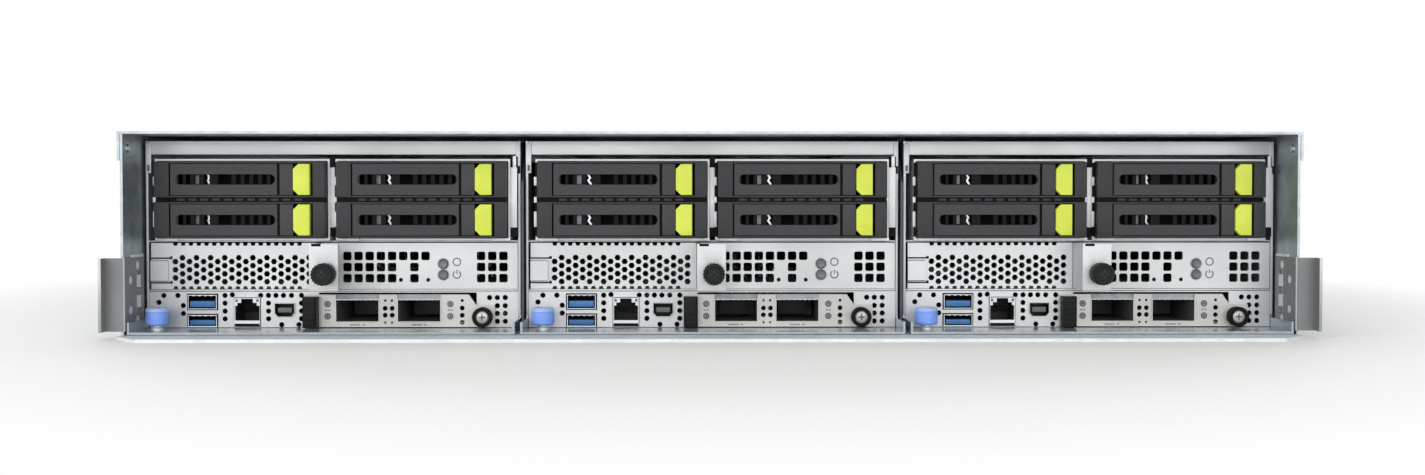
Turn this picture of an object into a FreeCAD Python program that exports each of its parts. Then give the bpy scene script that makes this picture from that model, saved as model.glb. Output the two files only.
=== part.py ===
"""A low rack chassis that holds three slide-in server sleds side by side.

Millimetres. X points right, Y points from the front to the rear, Z points up. The origin is at
the middle of the underside. A sled is modelled once about the middle of the chassis, and each
of the three sleds is a copy of it, shifted sideways.
"""
import FreeCAD, Part
import os
import re
import Sketcher
from FreeCAD import Rotation, Vector

# Driving dimensions
SIZES = {
    # Chassis
    "chassis_width": 532, "chassis_depth": 800, "chassis_sheet": 1.2, "top_room": 2.3,
    "corner_cut_wide": 14, "corner_cut_deep": 17, "hem_deep": 6, "hem_high": 0.2,
    "wall_setback": 23, "cover_flange": 12, "cover_gap": 0.2,
    "divider_sheet": 1.0, "divider_setback": 46, "divider_nose": 21,
    # Rack ears
    "ear_sheet": 1.0, "ear_reach": 7.5, "ear_low": 3, "ear_high": 33, "ear_inner": 24,
    "ear_lip": 6, "ear_joggle": 0.3, "ear_window_wide": 5, "ear_window_high": 20,
    # Rear power
    "clip_reach": 16, "clip_wide": 44, "clip_high": 62, "clip_slot": 9, "clip_low": 14,
    "bar_deep": 12, "bar_high": 26, "plug_wide": 40, "plug_high": 15, "plug_reach": 12,
    "receptacle_wall": 2.5, "receptacle_deep": 9,
    # Sled
    "bay_room": 2.5, "wall_room": 0.05, "sled_sheet": 1.0,
    "sled_setback": 23, "face_setback": 50, "lip_flange": 4.5, "rear_room": 26,
    "rear_sill": 18, "slide_gap": 0.3, "seat_gap": 0.2, "hole_gap": 0.3,
    # Top bar
    "bar_rise": 6.2, "bar_room": 2.1, "bar_return": 9, "bar_shelf": 20,
    # Drive cages, carriers and levers
    "cage_sheet": 1.0, "cage_depth": 122, "cage_front": 2, "rail_wide": 5,
    "carrier_left": 5.9, "carrier_pitch": 83.7, "carrier_width": 78.5, "rail_high": 1.5,
    "carrier_high": 16.6, "carrier_gap": 0.3, "carrier_face": 7,
    "bezel_deep": 12, "block_left": 6.8, "block_right": 5.5, "rib": 3.8, "strap": 0.8,
    "drive_wide": 69.85, "drive_long": 100.45, "drive_high": 15,
    "lever_gap": 0.3, "lever_thick": 2.6, "knuckle_radius": 1.8, "pin_radius": 0.8,
    "pin_fit": 0.06, "grip_left": 64.1, "grip_wide": 8.2, "grip_cut": 2.4, "grip_proud": 0.9,
    "vent_left": 12.4, "vent_high": 4.85, "vent_slot": 3.0, "vent_pitch": 5.2, "vent_count": 3,
    "vent_window": 6.4, "vent_right": 38.2, "vent_middle": 28.4,
    # Deck and shelf between the rows
    "deck_sheet": 0.9, "deck_deep": 124, "shelf_sheet": 0.8, "cage_seat": 0.1,
    # Slot filler
    "face_sheet": 1.0, "row_high": 21.5, "filler_left": 2.1,
    "hex_radius": 2.2, "hex_column": 4.6, "hex_row": 5.3, "hex_first": 13.6,
    "hex_short_up": 6.45, "hex_tall_up": 3.8, "hex_pairs": 7, "hex_short": 2, "hex_tall": 3,
    "tongue_wide": 8.6, "tongue_up": 3.4, "tongue_high": 10, "tongue_proud": 1.2,
    "tongue_relief": 1.4,
    # Raised plate and thumbscrew
    "raised_left": 79.8, "raised_wide": 13.2, "raised_proud": 19, "raised_sheet": 1.2,
    "raised_lip": 3.2, "screw_across": 87.5, "screw_up": 7.9, "screw_head": 5.3,
    "screw_head_long": 9.4, "screw_shank": 2.4, "screw_shank_long": 17.4, "screw_fit": 0.08,
    # Button panel
    "panel_right": 172.6, "square": 3.8, "square_pitch": 5.2,
    "square_first": 93.2, "square_up": 3.1, "square_count": 8, "square_rows": 3,
    "square_stop": 5, "square_lone": 6, "right_squares": 155.5, "right_count": 3,
    "button_across": 137.9, "button_up": 6.6, "button_pitch": 5.1, "button_radius": 2.1,
    "button_proud": 1.4, "button_long": 8.4, "button_fit": 0.15,
    "guide_wide": 9, "guide_high": 13, "guide_deep": 7, "switch_board": 1.4,
    # Socket plate
    "plate_high": 16.7, "window_left": 80.0, "window_wide": 73.4,
    "window_high": 15.6,
    "stack_left": 19.1, "stack_wide": 13.4, "stack_up": 0.3, "stack_lower_high": 5.5,
    "stack_upper_up": 8.5, "stack_upper_high": 6.7, "stack_deep": 15, "socket_wall": 0.5,
    "tongue_thick": 1.6, "socket_proud": 0.6,
    "jack_left": 40.6, "jack_wide": 12.0, "jack_up": 0.7, "jack_high": 13.0, "jack_deep": 16,
    "jack_wall": 0.8, "jack_notch_wide": 4.4, "jack_notch_high": 2.6, "jack_mouth_high": 8.0,
    "video_left": 59.2, "video_wide": 9.6, "video_up": 4.7, "video_high": 6.7, "video_deep": 9,
    # Network card
    "card_left": 80.4, "card_wide": 73, "card_up": 0.2, "card_high": 15.1, "card_ear": 8.6,
    "card_ear_high": 10.2, "card_sheet": 1.0, "card_gap": 0.3, "card_slope": 7,
    "cage_first": 88.0, "cage_step": 28.7, "port_wide": 20.2, "port_high": 10.6,
    "port_wall": 0.7, "port_deep": 46, "port_proud": 1.6, "board_thick": 1.6, "card_board_up": 0.9,
    "card_deep": 105, "tab_left": 73.7, "tab_wide": 6.5, "tab_high": 14.3,
    "tab_deep": 6.5, "ring_across": 156.5, "ring_up": 4.9, "ring_radius": 4.6,
    "ring_inner": 3.4, "ring_long": 5, "ring_step": 1.2,
    # Release plunger
    "plunger_across": 9, "plunger_ahead": 13, "knob_radius": 5.25, "knob_up": 1.7,
    "knob_high": 8.6, "lock_pin": 2.9, "lock_fit": 0.08, "lock_hole": 3.3, "knob_round": 1.6,
    # Mainboard and what stands on it
    "main_wide": 164, "main_front": 20, "main_long": 533, "main_up": 3.9, "standoff": 3,
    "standoff_rows": 3, "standoff_inset": 12,
    "cpu_from_face": 345, "cpu_wide": 72, "cpu_high": 7, "sink_wide": 78, "sink_long": 116,
    "sink_base": 4, "sink_room": 15.5, "fin": 1.2, "fin_pitch": 5.2, "fin_count": 14,
    "memory_first": 44.5, "memory_pitch": 6.6, "memory_count": 6, "memory_long": 133,
    "memory_thick": 3.2, "memory_low": 4.5, "memory_high": 31, "slot_wide": 5.4, "slot_high": 7.5,
    "slot_long": 142,
    "backplane_gap": 0.8, "backplane_thick": 1.6, "connector_wide": 34, "connector_high": 5,
    "connector_gap": 0.3, "riser_across": 76.5, "riser_long": 120, "riser_front": 26,
    # Fans
    "fan_size": 80, "fan_deep": 38, "fan_from_rear": 92, "fan_step": 83.6, "fan_rim": 1.6, "tip_room": 2.9,
    "hub_radius": 16, "hub_sides": 20, "hub_deep": 22, "motor_radius": 15.5, "motor_deep": 4,
    "strut_wide": 3.2, "spindle": 2.5, "spindle_fit": 0.08, "spindle_long": 18,
    "blade_root": 15.4, "blade_chord": 24, "blade_thick": 1.6, "blade_count": 5,
    "tip_chord": 27, "blade_angle": 36, "rotor_gap": 0.5,
    "power_wide": 90,
}

# Places worked out from the driving dimensions
PLACES = {
    "front": "-chassis_depth / 2",
    "rear": "chassis_depth / 2 - clip_reach",
    "face": "front + face_setback",
    "sled_front": "front + sled_setback",
    "sled_pitch": "(2 * wall_inner - 2 * wall_room) / 3",
    "sled_width": "sled_pitch - bay_room",
    "sled_left": "-sled_width / 2",
    "plate_low": "sled_floor + seat_gap",
    "shelf_low": "plate_low + plate_high + seat_gap",
    "row_low": "shelf_low + shelf_sheet + seat_gap",
    "deck_low": "row_low + row_high + seat_gap",
    "cage_low": "deck_low + deck_sheet + cage_seat",
    "carrier_low": "cage_low + cage_sheet + carrier_gap",
    "carrier_step": "carrier_high + rail_high + 2 * carrier_gap",
    "bar_low": "cage_low + cage_high + bar_room",
    "sled_top": "bar_low + bar_rise",
    "wall_top": "sled_top + top_room",
    "chassis_height": "wall_top + chassis_sheet",
    "hex_short_low": "row_low + hex_short_up",
    "hex_tall_low": "row_low + hex_tall_up",
    "tongue_low": "row_low + tongue_up",
    "filler_wide": "raised_left - filler_left - seat_gap",
    "panel_left": "raised_left + raised_sheet + seat_gap",
    "panel_wide": "panel_right - panel_left",
    "screw_height": "row_low + screw_up",
    "square_low": "row_low + square_up",
    "button_low": "row_low + button_up",
    "stack_low": "plate_low + stack_up",
    "stack_upper_low": "plate_low + stack_upper_up",
    "jack_low": "plate_low + jack_up",
    "video_low": "plate_low + video_up",
    "card_low": "plate_low + card_up",
    "card_board": "plate_low + card_board_up",
    "port_low": "card_board + board_thick",
    "ring_height": "plate_low + ring_up",
    "knob_low": "sled_floor + knob_up",
    "main_low": "sled_floor + main_up",
    "sink_top": "sled_top - sink_room",
    "fan_bore": "fan_size / 2 - fan_rim",
    "fan_tip": "fan_bore - tip_room",
    "sled_low": "chassis_sheet + slide_gap",
    "sled_floor": "sled_low + sled_sheet",
    "sled_inside": "sled_width - 2 * sled_sheet - 2 * seat_gap",
    "sled_rear": "rear - bar_deep - rear_room",
    "wall_front": "front + wall_setback",
    "wall_inner": "chassis_width / 2 - chassis_sheet",
    "carrier_front": "face - carrier_face",
    "frame_front": "carrier_front + bezel_deep",
    "drive_front": "frame_front + 2",
    "drive_rear": "drive_front + drive_long",
    "lever_low": "strap + lever_gap",
    "lever_high": "carrier_high - 2 * lever_low",
    "hinge_across": "block_left + lever_gap + knuckle_radius",
    "hinge_deep": "carrier_front + knuckle_radius",
    "vent_low": "(carrier_high - vent_high) / 2",
    "cage_high": "carrier_step + carrier_high + 2 * carrier_gap + 2 * cage_sheet",
    "cage_wide": "carrier_width + 2 * carrier_gap + 2 * cage_sheet",
    "cage_left": "sled_left + carrier_left - carrier_gap - cage_sheet",
    "backplane": "face - cage_front + cage_depth + backplane_gap",
    "main_top": "main_low + board_thick",
    "main_face": "face + main_front",
    "cpu_middle": "face + cpu_from_face",
    "fan_front": "sled_rear - fan_from_rear",
    "fan_low": "sled_floor + seat_gap",
    "fan_middle": "fan_low + fan_size / 2",
    "plunger_deep": "face - plunger_ahead",
    "plug_low": "main_top + seat_gap",
    "bar_front": "rear - bar_deep",
}
WORD = re.compile(r"[a-z][a-z_]*[a-z]")

doc = FreeCAD.newDocument("server_chassis")
sheet = doc.addObject("Spreadsheet::Sheet", "Sizes")
for row, (alias, number) in enumerate(SIZES.items(), 1):
    sheet.set(f"A{row}", alias)
    sheet.set(f"B{row}", str(number))
    sheet.setAlias(f"B{row}", alias)
doc.recompute()


def ex(text):
    """Spells out the sizes and places that an expression names."""
    def spell(found):
        word = found[0]
        if word in SIZES:
            return "Sizes." + word
        if word in PLACES:
            return "(" + ex(PLACES[word]) + ")"
        return word
    return WORD.sub(spell, text)


def bind(made, prop, text):
    made.setExpression(prop, ex(text))


def place(made, spot):
    for letter, text in zip("xyz", spot):
        bind(made, f"Placement.Base.{letter}", text)
    return made


def box(name, low, size):
    made = doc.addObject("Part::Box", name)
    for prop, text in zip(("Length", "Width", "Height"), size):
        bind(made, prop, text)
    return place(made, low)


def rod(name, start, radius, length, along="z"):
    made = doc.addObject("Part::Cylinder", name)
    if along == "y":
        made.Placement.Rotation = Rotation(Vector(1, 0, 0), -90)
    bind(made, "Radius", radius)
    bind(made, "Height", length)
    return place(made, start)


def hex_post(name, start, radius, length):
    made = doc.addObject("Part::Prism", name)
    made.Polygon = 6
    bind(made, "Circumradius", radius)
    bind(made, "Height", length)
    return place(made, start)


def fuse(name, pieces):
    made = doc.addObject("Part::MultiFuse", name)
    made.Shapes = pieces
    made.Refine = True
    return made


def group(name, pieces):
    made = doc.addObject("Part::Compound", name)
    made.Links = pieces
    return made


def cut(name, base, tools):
    made = doc.addObject("Part::Cut", name)
    made.Refine = True
    made.Base = base
    made.Tool = tools[0] if len(tools) == 1 else fuse(name + "_tools", tools)
    return made


def body(name):
    return doc.addObject("PartDesign::Body", name)


def sketch(owner, name, plane, offset="0"):
    """An empty sketch on one of a body's own planes, moved along that plane's normal."""
    made = owner.newObject("Sketcher::SketchObject", name)
    base = [item for item in owner.Origin.OriginFeatures if item.Role == plane][0]
    made.AttachmentSupport = [(base, "")]
    made.MapMode = "FlatFace"
    bind(made, "AttachmentOffset.Base.z", offset)
    return made


def pin_point(drawn, line, end, spot):
    """Holds one point of a sketch at a place given by two expressions."""
    for kind, text in zip(("DistanceX", "DistanceY"), spot):
        index = drawn.addConstraint(Sketcher.Constraint(kind, line, end, 1.0))
        bind(drawn, f"Constraints[{index}]", text)


def outline(drawn, points):
    """A closed outline of straight lines through points given as expressions."""
    first = drawn.GeometryCount
    count = len(points)
    turn = Rotation(Vector(0, 0, 1), 360 / count)
    start = Vector(100, 0, 0)
    for _ in points:
        end = turn.multVec(start)
        drawn.addGeometry(Part.LineSegment(start, end), False)
        start = end
    for step in range(count):
        after = first + (step + 1) % count
        drawn.addConstraint(Sketcher.Constraint("Coincident", first + step, 2, after, 1))
    for step, spot in enumerate(points):
        pin_point(drawn, first + step, 1, spot)


def rectangle(drawn, low, size):
    left, bottom = low
    right, top = f"{left} + {size[0]}", f"{bottom} + {size[1]}"
    outline(drawn, [(left, bottom), (right, bottom), (right, top), (left, top)])


def disc(drawn, centre, radius):
    index = drawn.addGeometry(Part.Circle(Vector(0, 0, 0), Vector(0, 0, 1), 1), False)
    pin_point(drawn, index, 3, centre)
    held = drawn.addConstraint(Sketcher.Constraint("Radius", index, 1.0))
    bind(drawn, f"Constraints[{held}]", radius)


def hexagon(drawn, centre, radius):
    across, up = centre
    half, rise = f"({radius}) / 2", f"({radius}) * 0.8660254"
    outline(drawn, [(f"{across} + {radius}", up), (f"{across} + {half}", f"{up} + {rise}"),
                    (f"{across} - {half}", f"{up} + {rise}"), (f"{across} - {radius}", up),
                    (f"{across} - {half}", f"{up} - {rise}"),
                    (f"{across} + {half}", f"{up} - {rise}")])


def pad(owner, drawn, length):
    made = owner.newObject("PartDesign::Pad", drawn.Name + "_pad")
    made.Profile = drawn
    bind(made, "Length", length)
    owner.Tip = made
    return made


def pierce(owner, drawn):
    """Cuts a sketch right through its body."""
    made = owner.newObject("PartDesign::Pocket", drawn.Name + "_cut")
    made.Profile = drawn
    made.Type = "ThroughAll"
    made.Midplane = True
    owner.Tip = made
    return made


def grid(owner, feature, drawn, across, up):
    """Repeats a cut in rows and columns; across and up are each a count and a pitch."""
    made = owner.newObject("PartDesign::LinearPattern", feature.Name + "_grid")
    made.Originals = [feature]
    made.Direction = (drawn, ["H_Axis"])
    made.Direction2 = (drawn, ["V_Axis"])
    for end, (count, pitch) in (("", across), ("2", up)):
        bind(made, "Occurrences" + end, count)
        bind(made, "Length" + end, f"({count} - 1) * {pitch}")
    owner.Tip = made
    return made


def turned(name, profile, along):
    """A turned piece: a profile of (radius, place along the axis) revolved about Y or Z."""
    made = body(name)
    drawn = sketch(made, name + "_profile", "XY_Plane" if along == "Y" else "XZ_Plane")
    outline(drawn, profile)
    spun = made.newObject("PartDesign::Revolution", name + "_turn")
    spun.Profile = drawn
    spun.ReferenceAxis = (drawn, ["V_Axis"])
    spun.Angle = 360
    made.Tip = spun
    return made


# Chassis

def chassis_floor():
    made = body("chassis_floor")
    plan = sketch(made, "floor_plan", "XY_Plane")
    half, cut_back = "chassis_width / 2", "front + corner_cut_deep"
    outline(plan, [("-chassis_width / 2 + corner_cut_wide", "front"),
                   ("chassis_width / 2 - corner_cut_wide", "front"), (half, cut_back),
                   (half, "rear"), ("-" + half, "rear"), ("-" + half, cut_back)])
    pad(made, plan, "chassis_sheet")
    hem = sketch(made, "floor_hem", "XY_Plane", "chassis_sheet")
    rectangle(hem, ("-chassis_width / 2 + corner_cut_wide", "front"),
              ("(chassis_width - 2 * corner_cut_wide)", "hem_deep"))
    pad(made, hem, "hem_high")
    locks = sketch(made, "floor_locks", "XY_Plane")
    for shift in SLEDS.values():
        disc(locks, (f"{shift} + sled_left + plunger_across", "plunger_deep"), "lock_hole")
    pierce(made, locks)
    return made


def chassis_walls():
    walls = []
    for side, left in (("left", "-chassis_width / 2"), ("right", "wall_inner")):
        made = body(f"wall_{side}")
        view = sketch(made, f"wall_{side}_view", "YZ_Plane", left)
        low = "chassis_sheet"
        outline(view, [("wall_front", low), ("rear", low), ("rear", "wall_top"),
                       ("wall_front", "wall_top")])
        pad(made, view, "chassis_sheet")
        walls.append(made)
    return group("chassis_walls", walls)


def chassis_cover():
    made = body("chassis_cover")
    profile = sketch(made, "cover_profile", "XZ_Plane", "-rear")
    inner = "chassis_width / 2 + cover_gap"
    outer = inner + " + chassis_sheet"
    skirt = "wall_top - cover_flange"
    outline(profile, [(f"-({inner})", skirt), (f"-({outer})", skirt),
                      (f"-({outer})", "chassis_height"), (outer, "chassis_height"),
                      (outer, skirt), (inner, skirt), (inner, "wall_top"),
                      (f"-({inner})", "wall_top")])
    pad(made, profile, "rear - wall_front")
    return made


def chassis_dividers():
    dividers = []
    for side, sign in (("left", "-"), ("right", "")):
        made = body(f"divider_{side}")
        middle = f"{sign}sled_pitch / 2"
        view = sketch(made, f"divider_{side}_view", "YZ_Plane", f"{middle} - divider_sheet / 2")
        nose, low, top = "front + divider_setback", "chassis_sheet", "wall_top - cover_gap"
        outline(view, [(nose, low), ("bar_front - seat_gap", low), ("bar_front - seat_gap", top),
                       (f"{nose} + divider_nose", top),
                       (nose, f"{top} - divider_nose")])
        pad(made, view, "divider_sheet")
        dividers.append(made)
    return group("chassis_dividers", dividers)


def rack_ears():
    ears = []
    for side, sign in (("left", "-"), ("right", "")):
        made = body(f"ear_{side}")
        plan = sketch(made, f"ear_{side}_plan", "XY_Plane", "ear_low")
        inner, outer = "wall_inner - ear_sheet", "chassis_width / 2 + ear_reach"
        back = "wall_front - cover_gap"
        seat = "chassis_width / 2 + 2 * cover_gap + chassis_sheet + ear_joggle"
        points = [(inner, "wall_front + ear_inner"), ("wall_inner", "wall_front + ear_inner"),
                  ("wall_inner", f"{back} - ear_joggle"), (seat, f"{back} - ear_joggle"),
                  (seat, back), (outer, back), (outer, f"{back} - ear_lip - ear_sheet"),
                  (f"{outer} - ear_sheet", f"{back} - ear_lip - ear_sheet"),
                  (f"{outer} - ear_sheet", f"{back} - ear_sheet"), (inner, f"{back} - ear_sheet")]
        outline(plan, [(f"{sign}({across})", deep) for across, deep in points])
        pad(made, plan, "ear_high")
        view = sketch(made, f"ear_{side}_windows", "YZ_Plane", f"{sign}wall_inner")
        for share in ("0.30", "0.70"):
            rectangle(view, (f"wall_front + {share} * ear_inner - ear_window_wide / 2",
                             "ear_low + (ear_high - ear_window_high) / 2"),
                      ("ear_window_wide", "ear_window_high"))
        trim = made.newObject("PartDesign::Pocket", f"ear_{side}_window_cut")
        trim.Profile = view
        trim.Midplane = True
        bind(trim, "Length", "4 * ear_sheet")
        made.Tip = trim
        ears.append(made)
    return group("rack_ears", ears)


def power_backplane():
    bar = box("bar", ("-wall_inner + seat_gap", "bar_front", "chassis_sheet"),
              ("2 * (wall_inner - seat_gap)", "bar_deep", "bar_high"))
    post = box("clip_post", ("-clip_wide / 2", "bar_front", "chassis_sheet"),
               ("clip_wide", "bar_deep", "clip_low + clip_high - chassis_sheet"))
    pieces = [fuse("power_bar", [bar, post])]
    clip = box("clip_block", ("-clip_wide / 2", "rear", "clip_low"),
               ("clip_wide", "clip_reach", "clip_high"))
    slot = box("clip_slot_cut", ("-clip_slot / 2", "rear + receptacle_wall", "clip_low - clip_high"),
               ("clip_slot", "2 * clip_reach", "3 * clip_high"))
    pieces.append(cut("bus_clip", clip, [slot]))
    for sled, shift in SLEDS.items():
        wide = "plug_wide + 2 * receptacle_wall + 2 * hole_gap"
        high = "plug_high + 2 * receptacle_wall + 2 * hole_gap"
        low = "plug_low - receptacle_wall - hole_gap"
        shell = box(f"receptacle_{sled}_shell", (f"{shift} - ({wide}) / 2",
                    "bar_front - receptacle_deep", low), (wide, "receptacle_deep", high))
        mouth = box(f"receptacle_{sled}_mouth", (f"{shift} - plug_wide / 2 - hole_gap",
                    "bar_front - 2 * receptacle_deep", "plug_low - hole_gap"),
                    ("plug_wide + 2 * hole_gap", "2 * receptacle_deep - receptacle_wall",
                     "plug_high + 2 * hole_gap"))
        pieces.append(cut(f"receptacle_{sled}", shell, [mouth]))
    return group("power_backplane", pieces)


# Sled

def sled_tray():
    made = body("sled_tray")
    half, inner = "sled_width / 2", "sled_width / 2 - sled_sheet"

    def channel(name, top, offset):
        drawn = sketch(made, name, "XZ_Plane", offset)
        outline(drawn, [(f"-({half})", "sled_low"), (half, "sled_low"), (half, top),
                        (inner, top), (inner, "sled_floor"), (f"-({inner})", "sled_floor"),
                        (f"-({inner})", top), (f"-({half})", top)])
        return drawn

    pad(made, channel("tray_channel", "sled_top", "-sled_rear"), "sled_rear - face")
    pad(made, channel("tray_lip", "sled_floor + lip_flange", "-face"), "face - sled_front")
    sill = sketch(made, "tray_sill", "XZ_Plane", "-sled_rear")
    for low in (f"-({inner})", "plug_wide / 2 + hole_gap"):
        rectangle(sill, (low, "sled_floor"), (f"({inner} - plug_wide / 2 - hole_gap)", "rear_sill"))
    pad(made, sill, "sled_sheet")
    hole = sketch(made, "tray_lock", "XY_Plane")
    disc(hole, ("sled_left + plunger_across", "plunger_deep"), "lock_pin + lock_fit")
    pierce(made, hole)
    return made


def top_bar():
    made = body("top_bar")
    view = sketch(made, "top_bar_view", "YZ_Plane", "-sled_inside / 2")
    back = "face + sled_sheet"
    outline(view, [("face", "bar_low"), ("face + bar_return", "bar_low"),
                   ("face + bar_return", "bar_low + sled_sheet"), (back, "bar_low + sled_sheet"),
                   (back, "sled_top - sled_sheet"), ("face + bar_shelf", "sled_top - sled_sheet"),
                   ("face + bar_shelf", "sled_top"), ("face", "sled_top")])
    pad(made, view, "sled_inside")
    return made


def drive_cage(number):
    left = f"cage_left + {number} * carrier_pitch"
    start = "face - cage_front"
    shell = box(f"cage_{number}_shell", (left, start, "cage_low"),
                ("cage_wide", "cage_depth", "cage_high"))
    inside = box(f"cage_{number}_inside", (f"{left} + cage_sheet", f"{start} - cage_sheet",
                 "cage_low + cage_sheet"), ("cage_wide - 2 * cage_sheet",
                 "cage_depth + 2 * cage_sheet", "cage_high - 2 * cage_sheet"))
    sleeve = cut(f"cage_{number}_sleeve", shell, [inside])
    rail_low = "carrier_low + carrier_high + carrier_gap"
    rails = [box(f"cage_{number}_rail_{side}", (spot, f"{start} + bezel_deep", rail_low),
                 ("rail_wide", "cage_depth - bezel_deep", "rail_high"))
             for side, spot in (("a", f"{left} + cage_sheet / 2"),
                                ("b", f"{left} + cage_wide - cage_sheet / 2 - rail_wide"))]
    return fuse(f"drive_cage_{number}", [sleeve] + rails)


def plate_with_row(name, left, wide, low, high):
    """A flat front plate of the sled, its front face on the face plane."""
    made = body(name)
    drawn = sketch(made, name + "_edge", "XZ_Plane", "-face - face_sheet")
    rectangle(drawn, (left, low), (wide, high))
    pad(made, drawn, "face_sheet")
    return made


def slot_filler():
    made = plate_with_row("slot_filler", "sled_left + filler_left", "filler_wide", "row_low",
                          "row_high")
    tongue = sketch(made, "filler_tongue", "XZ_Plane", "-face")
    rectangle(tongue, ("sled_left + filler_left", "tongue_low"), ("tongue_wide", "tongue_high"))
    pad(made, tongue, "tongue_proud")
    relief = sketch(made, "filler_relief", "XZ_Plane", "-face")
    for low in ("tongue_low - tongue_relief", "tongue_low + tongue_high"):
        rectangle(relief, ("sled_left + filler_left", low), ("tongue_wide", "tongue_relief"))
    pierce(made, relief)
    for part, shift, low, count in (("short", "0", "hex_short_low", "hex_short"),
                                    ("tall", "hex_column", "hex_tall_low", "hex_tall")):
        drawn = sketch(made, f"filler_hex_{part}", "XZ_Plane", "-face")
        hexagon(drawn, (f"sled_left + hex_first + {shift}", low), "hex_radius")
        grid(made, pierce(made, drawn), drawn, ("hex_pairs", "2 * hex_column"),
             (count, "hex_row"))
    return made


def raised_plate():
    made = body("raised_plate")
    left, wide = "sled_left + raised_left", "raised_wide"
    nose = "face - raised_proud"
    right = f"{left} + {wide}"
    plan = sketch(made, "raised_plan", "XY_Plane", "row_low")
    outline(plan, [(left, nose), (right, nose), (right, f"{nose} + raised_lip"),
                   (f"{right} - raised_sheet", f"{nose} + raised_lip"),
                   (f"{right} - raised_sheet", f"{nose} + raised_sheet"),
                   (f"{left} + raised_sheet", f"{nose} + raised_sheet"),
                   (f"{left} + raised_sheet", "face + face_sheet"), (left, "face + face_sheet")])
    pad(made, plan, "row_high")
    hole = sketch(made, "raised_hole", "XZ_Plane", f"-({nose})")
    disc(hole, ("sled_left + screw_across", "screw_height"), "screw_shank + screw_fit")
    pierce(made, hole)
    return made


def button_panel():
    made = plate_with_row("button_panel", "sled_left + panel_left", "panel_wide", "row_low",
                          "row_high")
    blocks = (("top", "square_first", "square_low + 2 * square_pitch", "square_count", "1"),
              ("left", "square_first", "square_low", "square_stop", "2"),
              ("lone", "square_first + square_lone * square_pitch", "square_low", "1", "2"),
              ("right", "right_squares", "square_low", "right_count", "square_rows"))
    for part, left, low, columns, rows in blocks:
        drawn = sketch(made, f"panel_{part}", "XZ_Plane", "-face")
        rectangle(drawn, (f"sled_left + {left} - square / 2", low), ("square", "square"))
        grid(made, pierce(made, drawn), drawn, (columns, "square_pitch"), (rows, "square_pitch"))
    holes = sketch(made, "panel_buttons", "XZ_Plane", "-face")
    for step in ("0", "1"):
        disc(holes, ("sled_left + button_across", f"button_low + {step} * button_pitch"),
             "button_radius + button_fit")
    pierce(made, holes)
    return made


def socket_plate():
    made = plate_with_row("socket_plate", "-sled_inside / 2", "sled_inside", "plate_low",
                          "plate_high")
    drawn = sketch(made, "socket_cuts", "XZ_Plane", "-face")
    gap = "hole_gap"
    for left, low, wide, high in (("stack_left", "stack_low", "stack_wide", "stack_lower_high"),
                                  ("stack_left", "stack_upper_low", "stack_wide",
                                   "stack_upper_high"),
                                  ("jack_left", "jack_low", "jack_wide", "jack_high"),
                                  ("video_left", "video_low", "video_wide", "video_high")):
        rectangle(drawn, (f"sled_left + {left} - {gap}", f"{low} - {gap}"),
                  (f"({wide} + 2 * {gap})", f"({high} + 2 * {gap})"))
    pierce(made, drawn)
    window = sketch(made, "card_window", "XZ_Plane", "-face")
    rectangle(window, ("sled_left + window_left", "plate_low - sled_sheet"),
              ("window_wide", "window_high + sled_sheet"))
    pierce(made, window)
    return made


def sled_front():
    deck = box("cage_deck", ("-sled_inside / 2", "face", "deck_low"),
               ("sled_inside", "deck_deep", "deck_sheet"))
    shelf = box("slot_shelf", ("-sled_inside / 2", "face", "shelf_low"),
                ("sled_inside", "deck_deep", "shelf_sheet"))
    return group("sled_front", [top_bar(), drive_cage(0), drive_cage(1), deck, shelf,
                                slot_filler(), raised_plate(), button_panel(), socket_plate()])


# What each sled holds

def socket(name, left, low, wide, high, deep):
    """A metal-shelled socket, open at the front, with a contact tongue inside."""
    start = "face - socket_proud"
    shell = box(name + "_shell", (left, start, low), (wide, deep, high))
    mouth = box(name + "_mouth", (f"{left} + socket_wall", f"{start} - 1", f"{low} + socket_wall"),
                (f"{wide} - 2 * socket_wall", deep, f"{high} - 2 * socket_wall"))
    hollow = cut(name + "_hollow", shell, [mouth])
    tongue = box(name + "_tongue", (f"{left} + 2 * socket_wall", f"{start} + 1",
                 f"{low} + ({high} - tongue_thick) / 2"),
                 (f"{wide} - 4 * socket_wall", f"{deep} - 1.5", "tongue_thick"))
    return fuse(name, [hollow, tongue])


def network_jack():
    left, start = "sled_left + jack_left", "face - socket_proud"
    shell = box("jack_shell", (left, start, "jack_low"), ("jack_wide", "jack_deep", "jack_high"))
    mouth = box("jack_mouth", (f"{left} + jack_wall", f"{start} - 1",
                "jack_low + jack_high - jack_wall - jack_notch_high - jack_mouth_high"),
                ("jack_wide - 2 * jack_wall", "jack_deep", "jack_mouth_high"))
    notch = box("jack_notch", (f"{left} + (jack_wide - jack_notch_wide) / 2", f"{start} - 1",
                "jack_low + jack_high - jack_wall - jack_notch_high - 1"),
                ("jack_notch_wide", "jack_deep", "jack_notch_high + 1"))
    return cut("network_jack", shell, [mouth, notch])


def mainboard():
    left = "-main_wide / 2"
    board = box("whole_mainboard", (left, "main_face", "main_low"),
                ("main_wide", "main_long", "board_thick"))
    posts = []
    for across in range(2):
        for along in range(SIZES["standoff_rows"]):
            spot = (f"{left} + standoff_inset + {across} * (main_wide - 2 * standoff_inset)",
                    f"main_face + standoff_inset + {along} * (main_long - 2 * standoff_inset)"
                    " / (standoff_rows - 1)", "sled_floor")
            posts.append(hex_post(f"standoff_{across}_{along}", spot, "standoff",
                                  "main_low - sled_floor"))
    bay = box("card_bay", ("sled_left + card_left - card_gap", "main_face - 1", "main_low - 1"),
              ("card_wide + 2 * card_gap", "card_deep", "board_thick + 2"))
    return fuse("mainboard_on_posts", [cut("notched_mainboard", board, [bay])] + posts)


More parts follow.
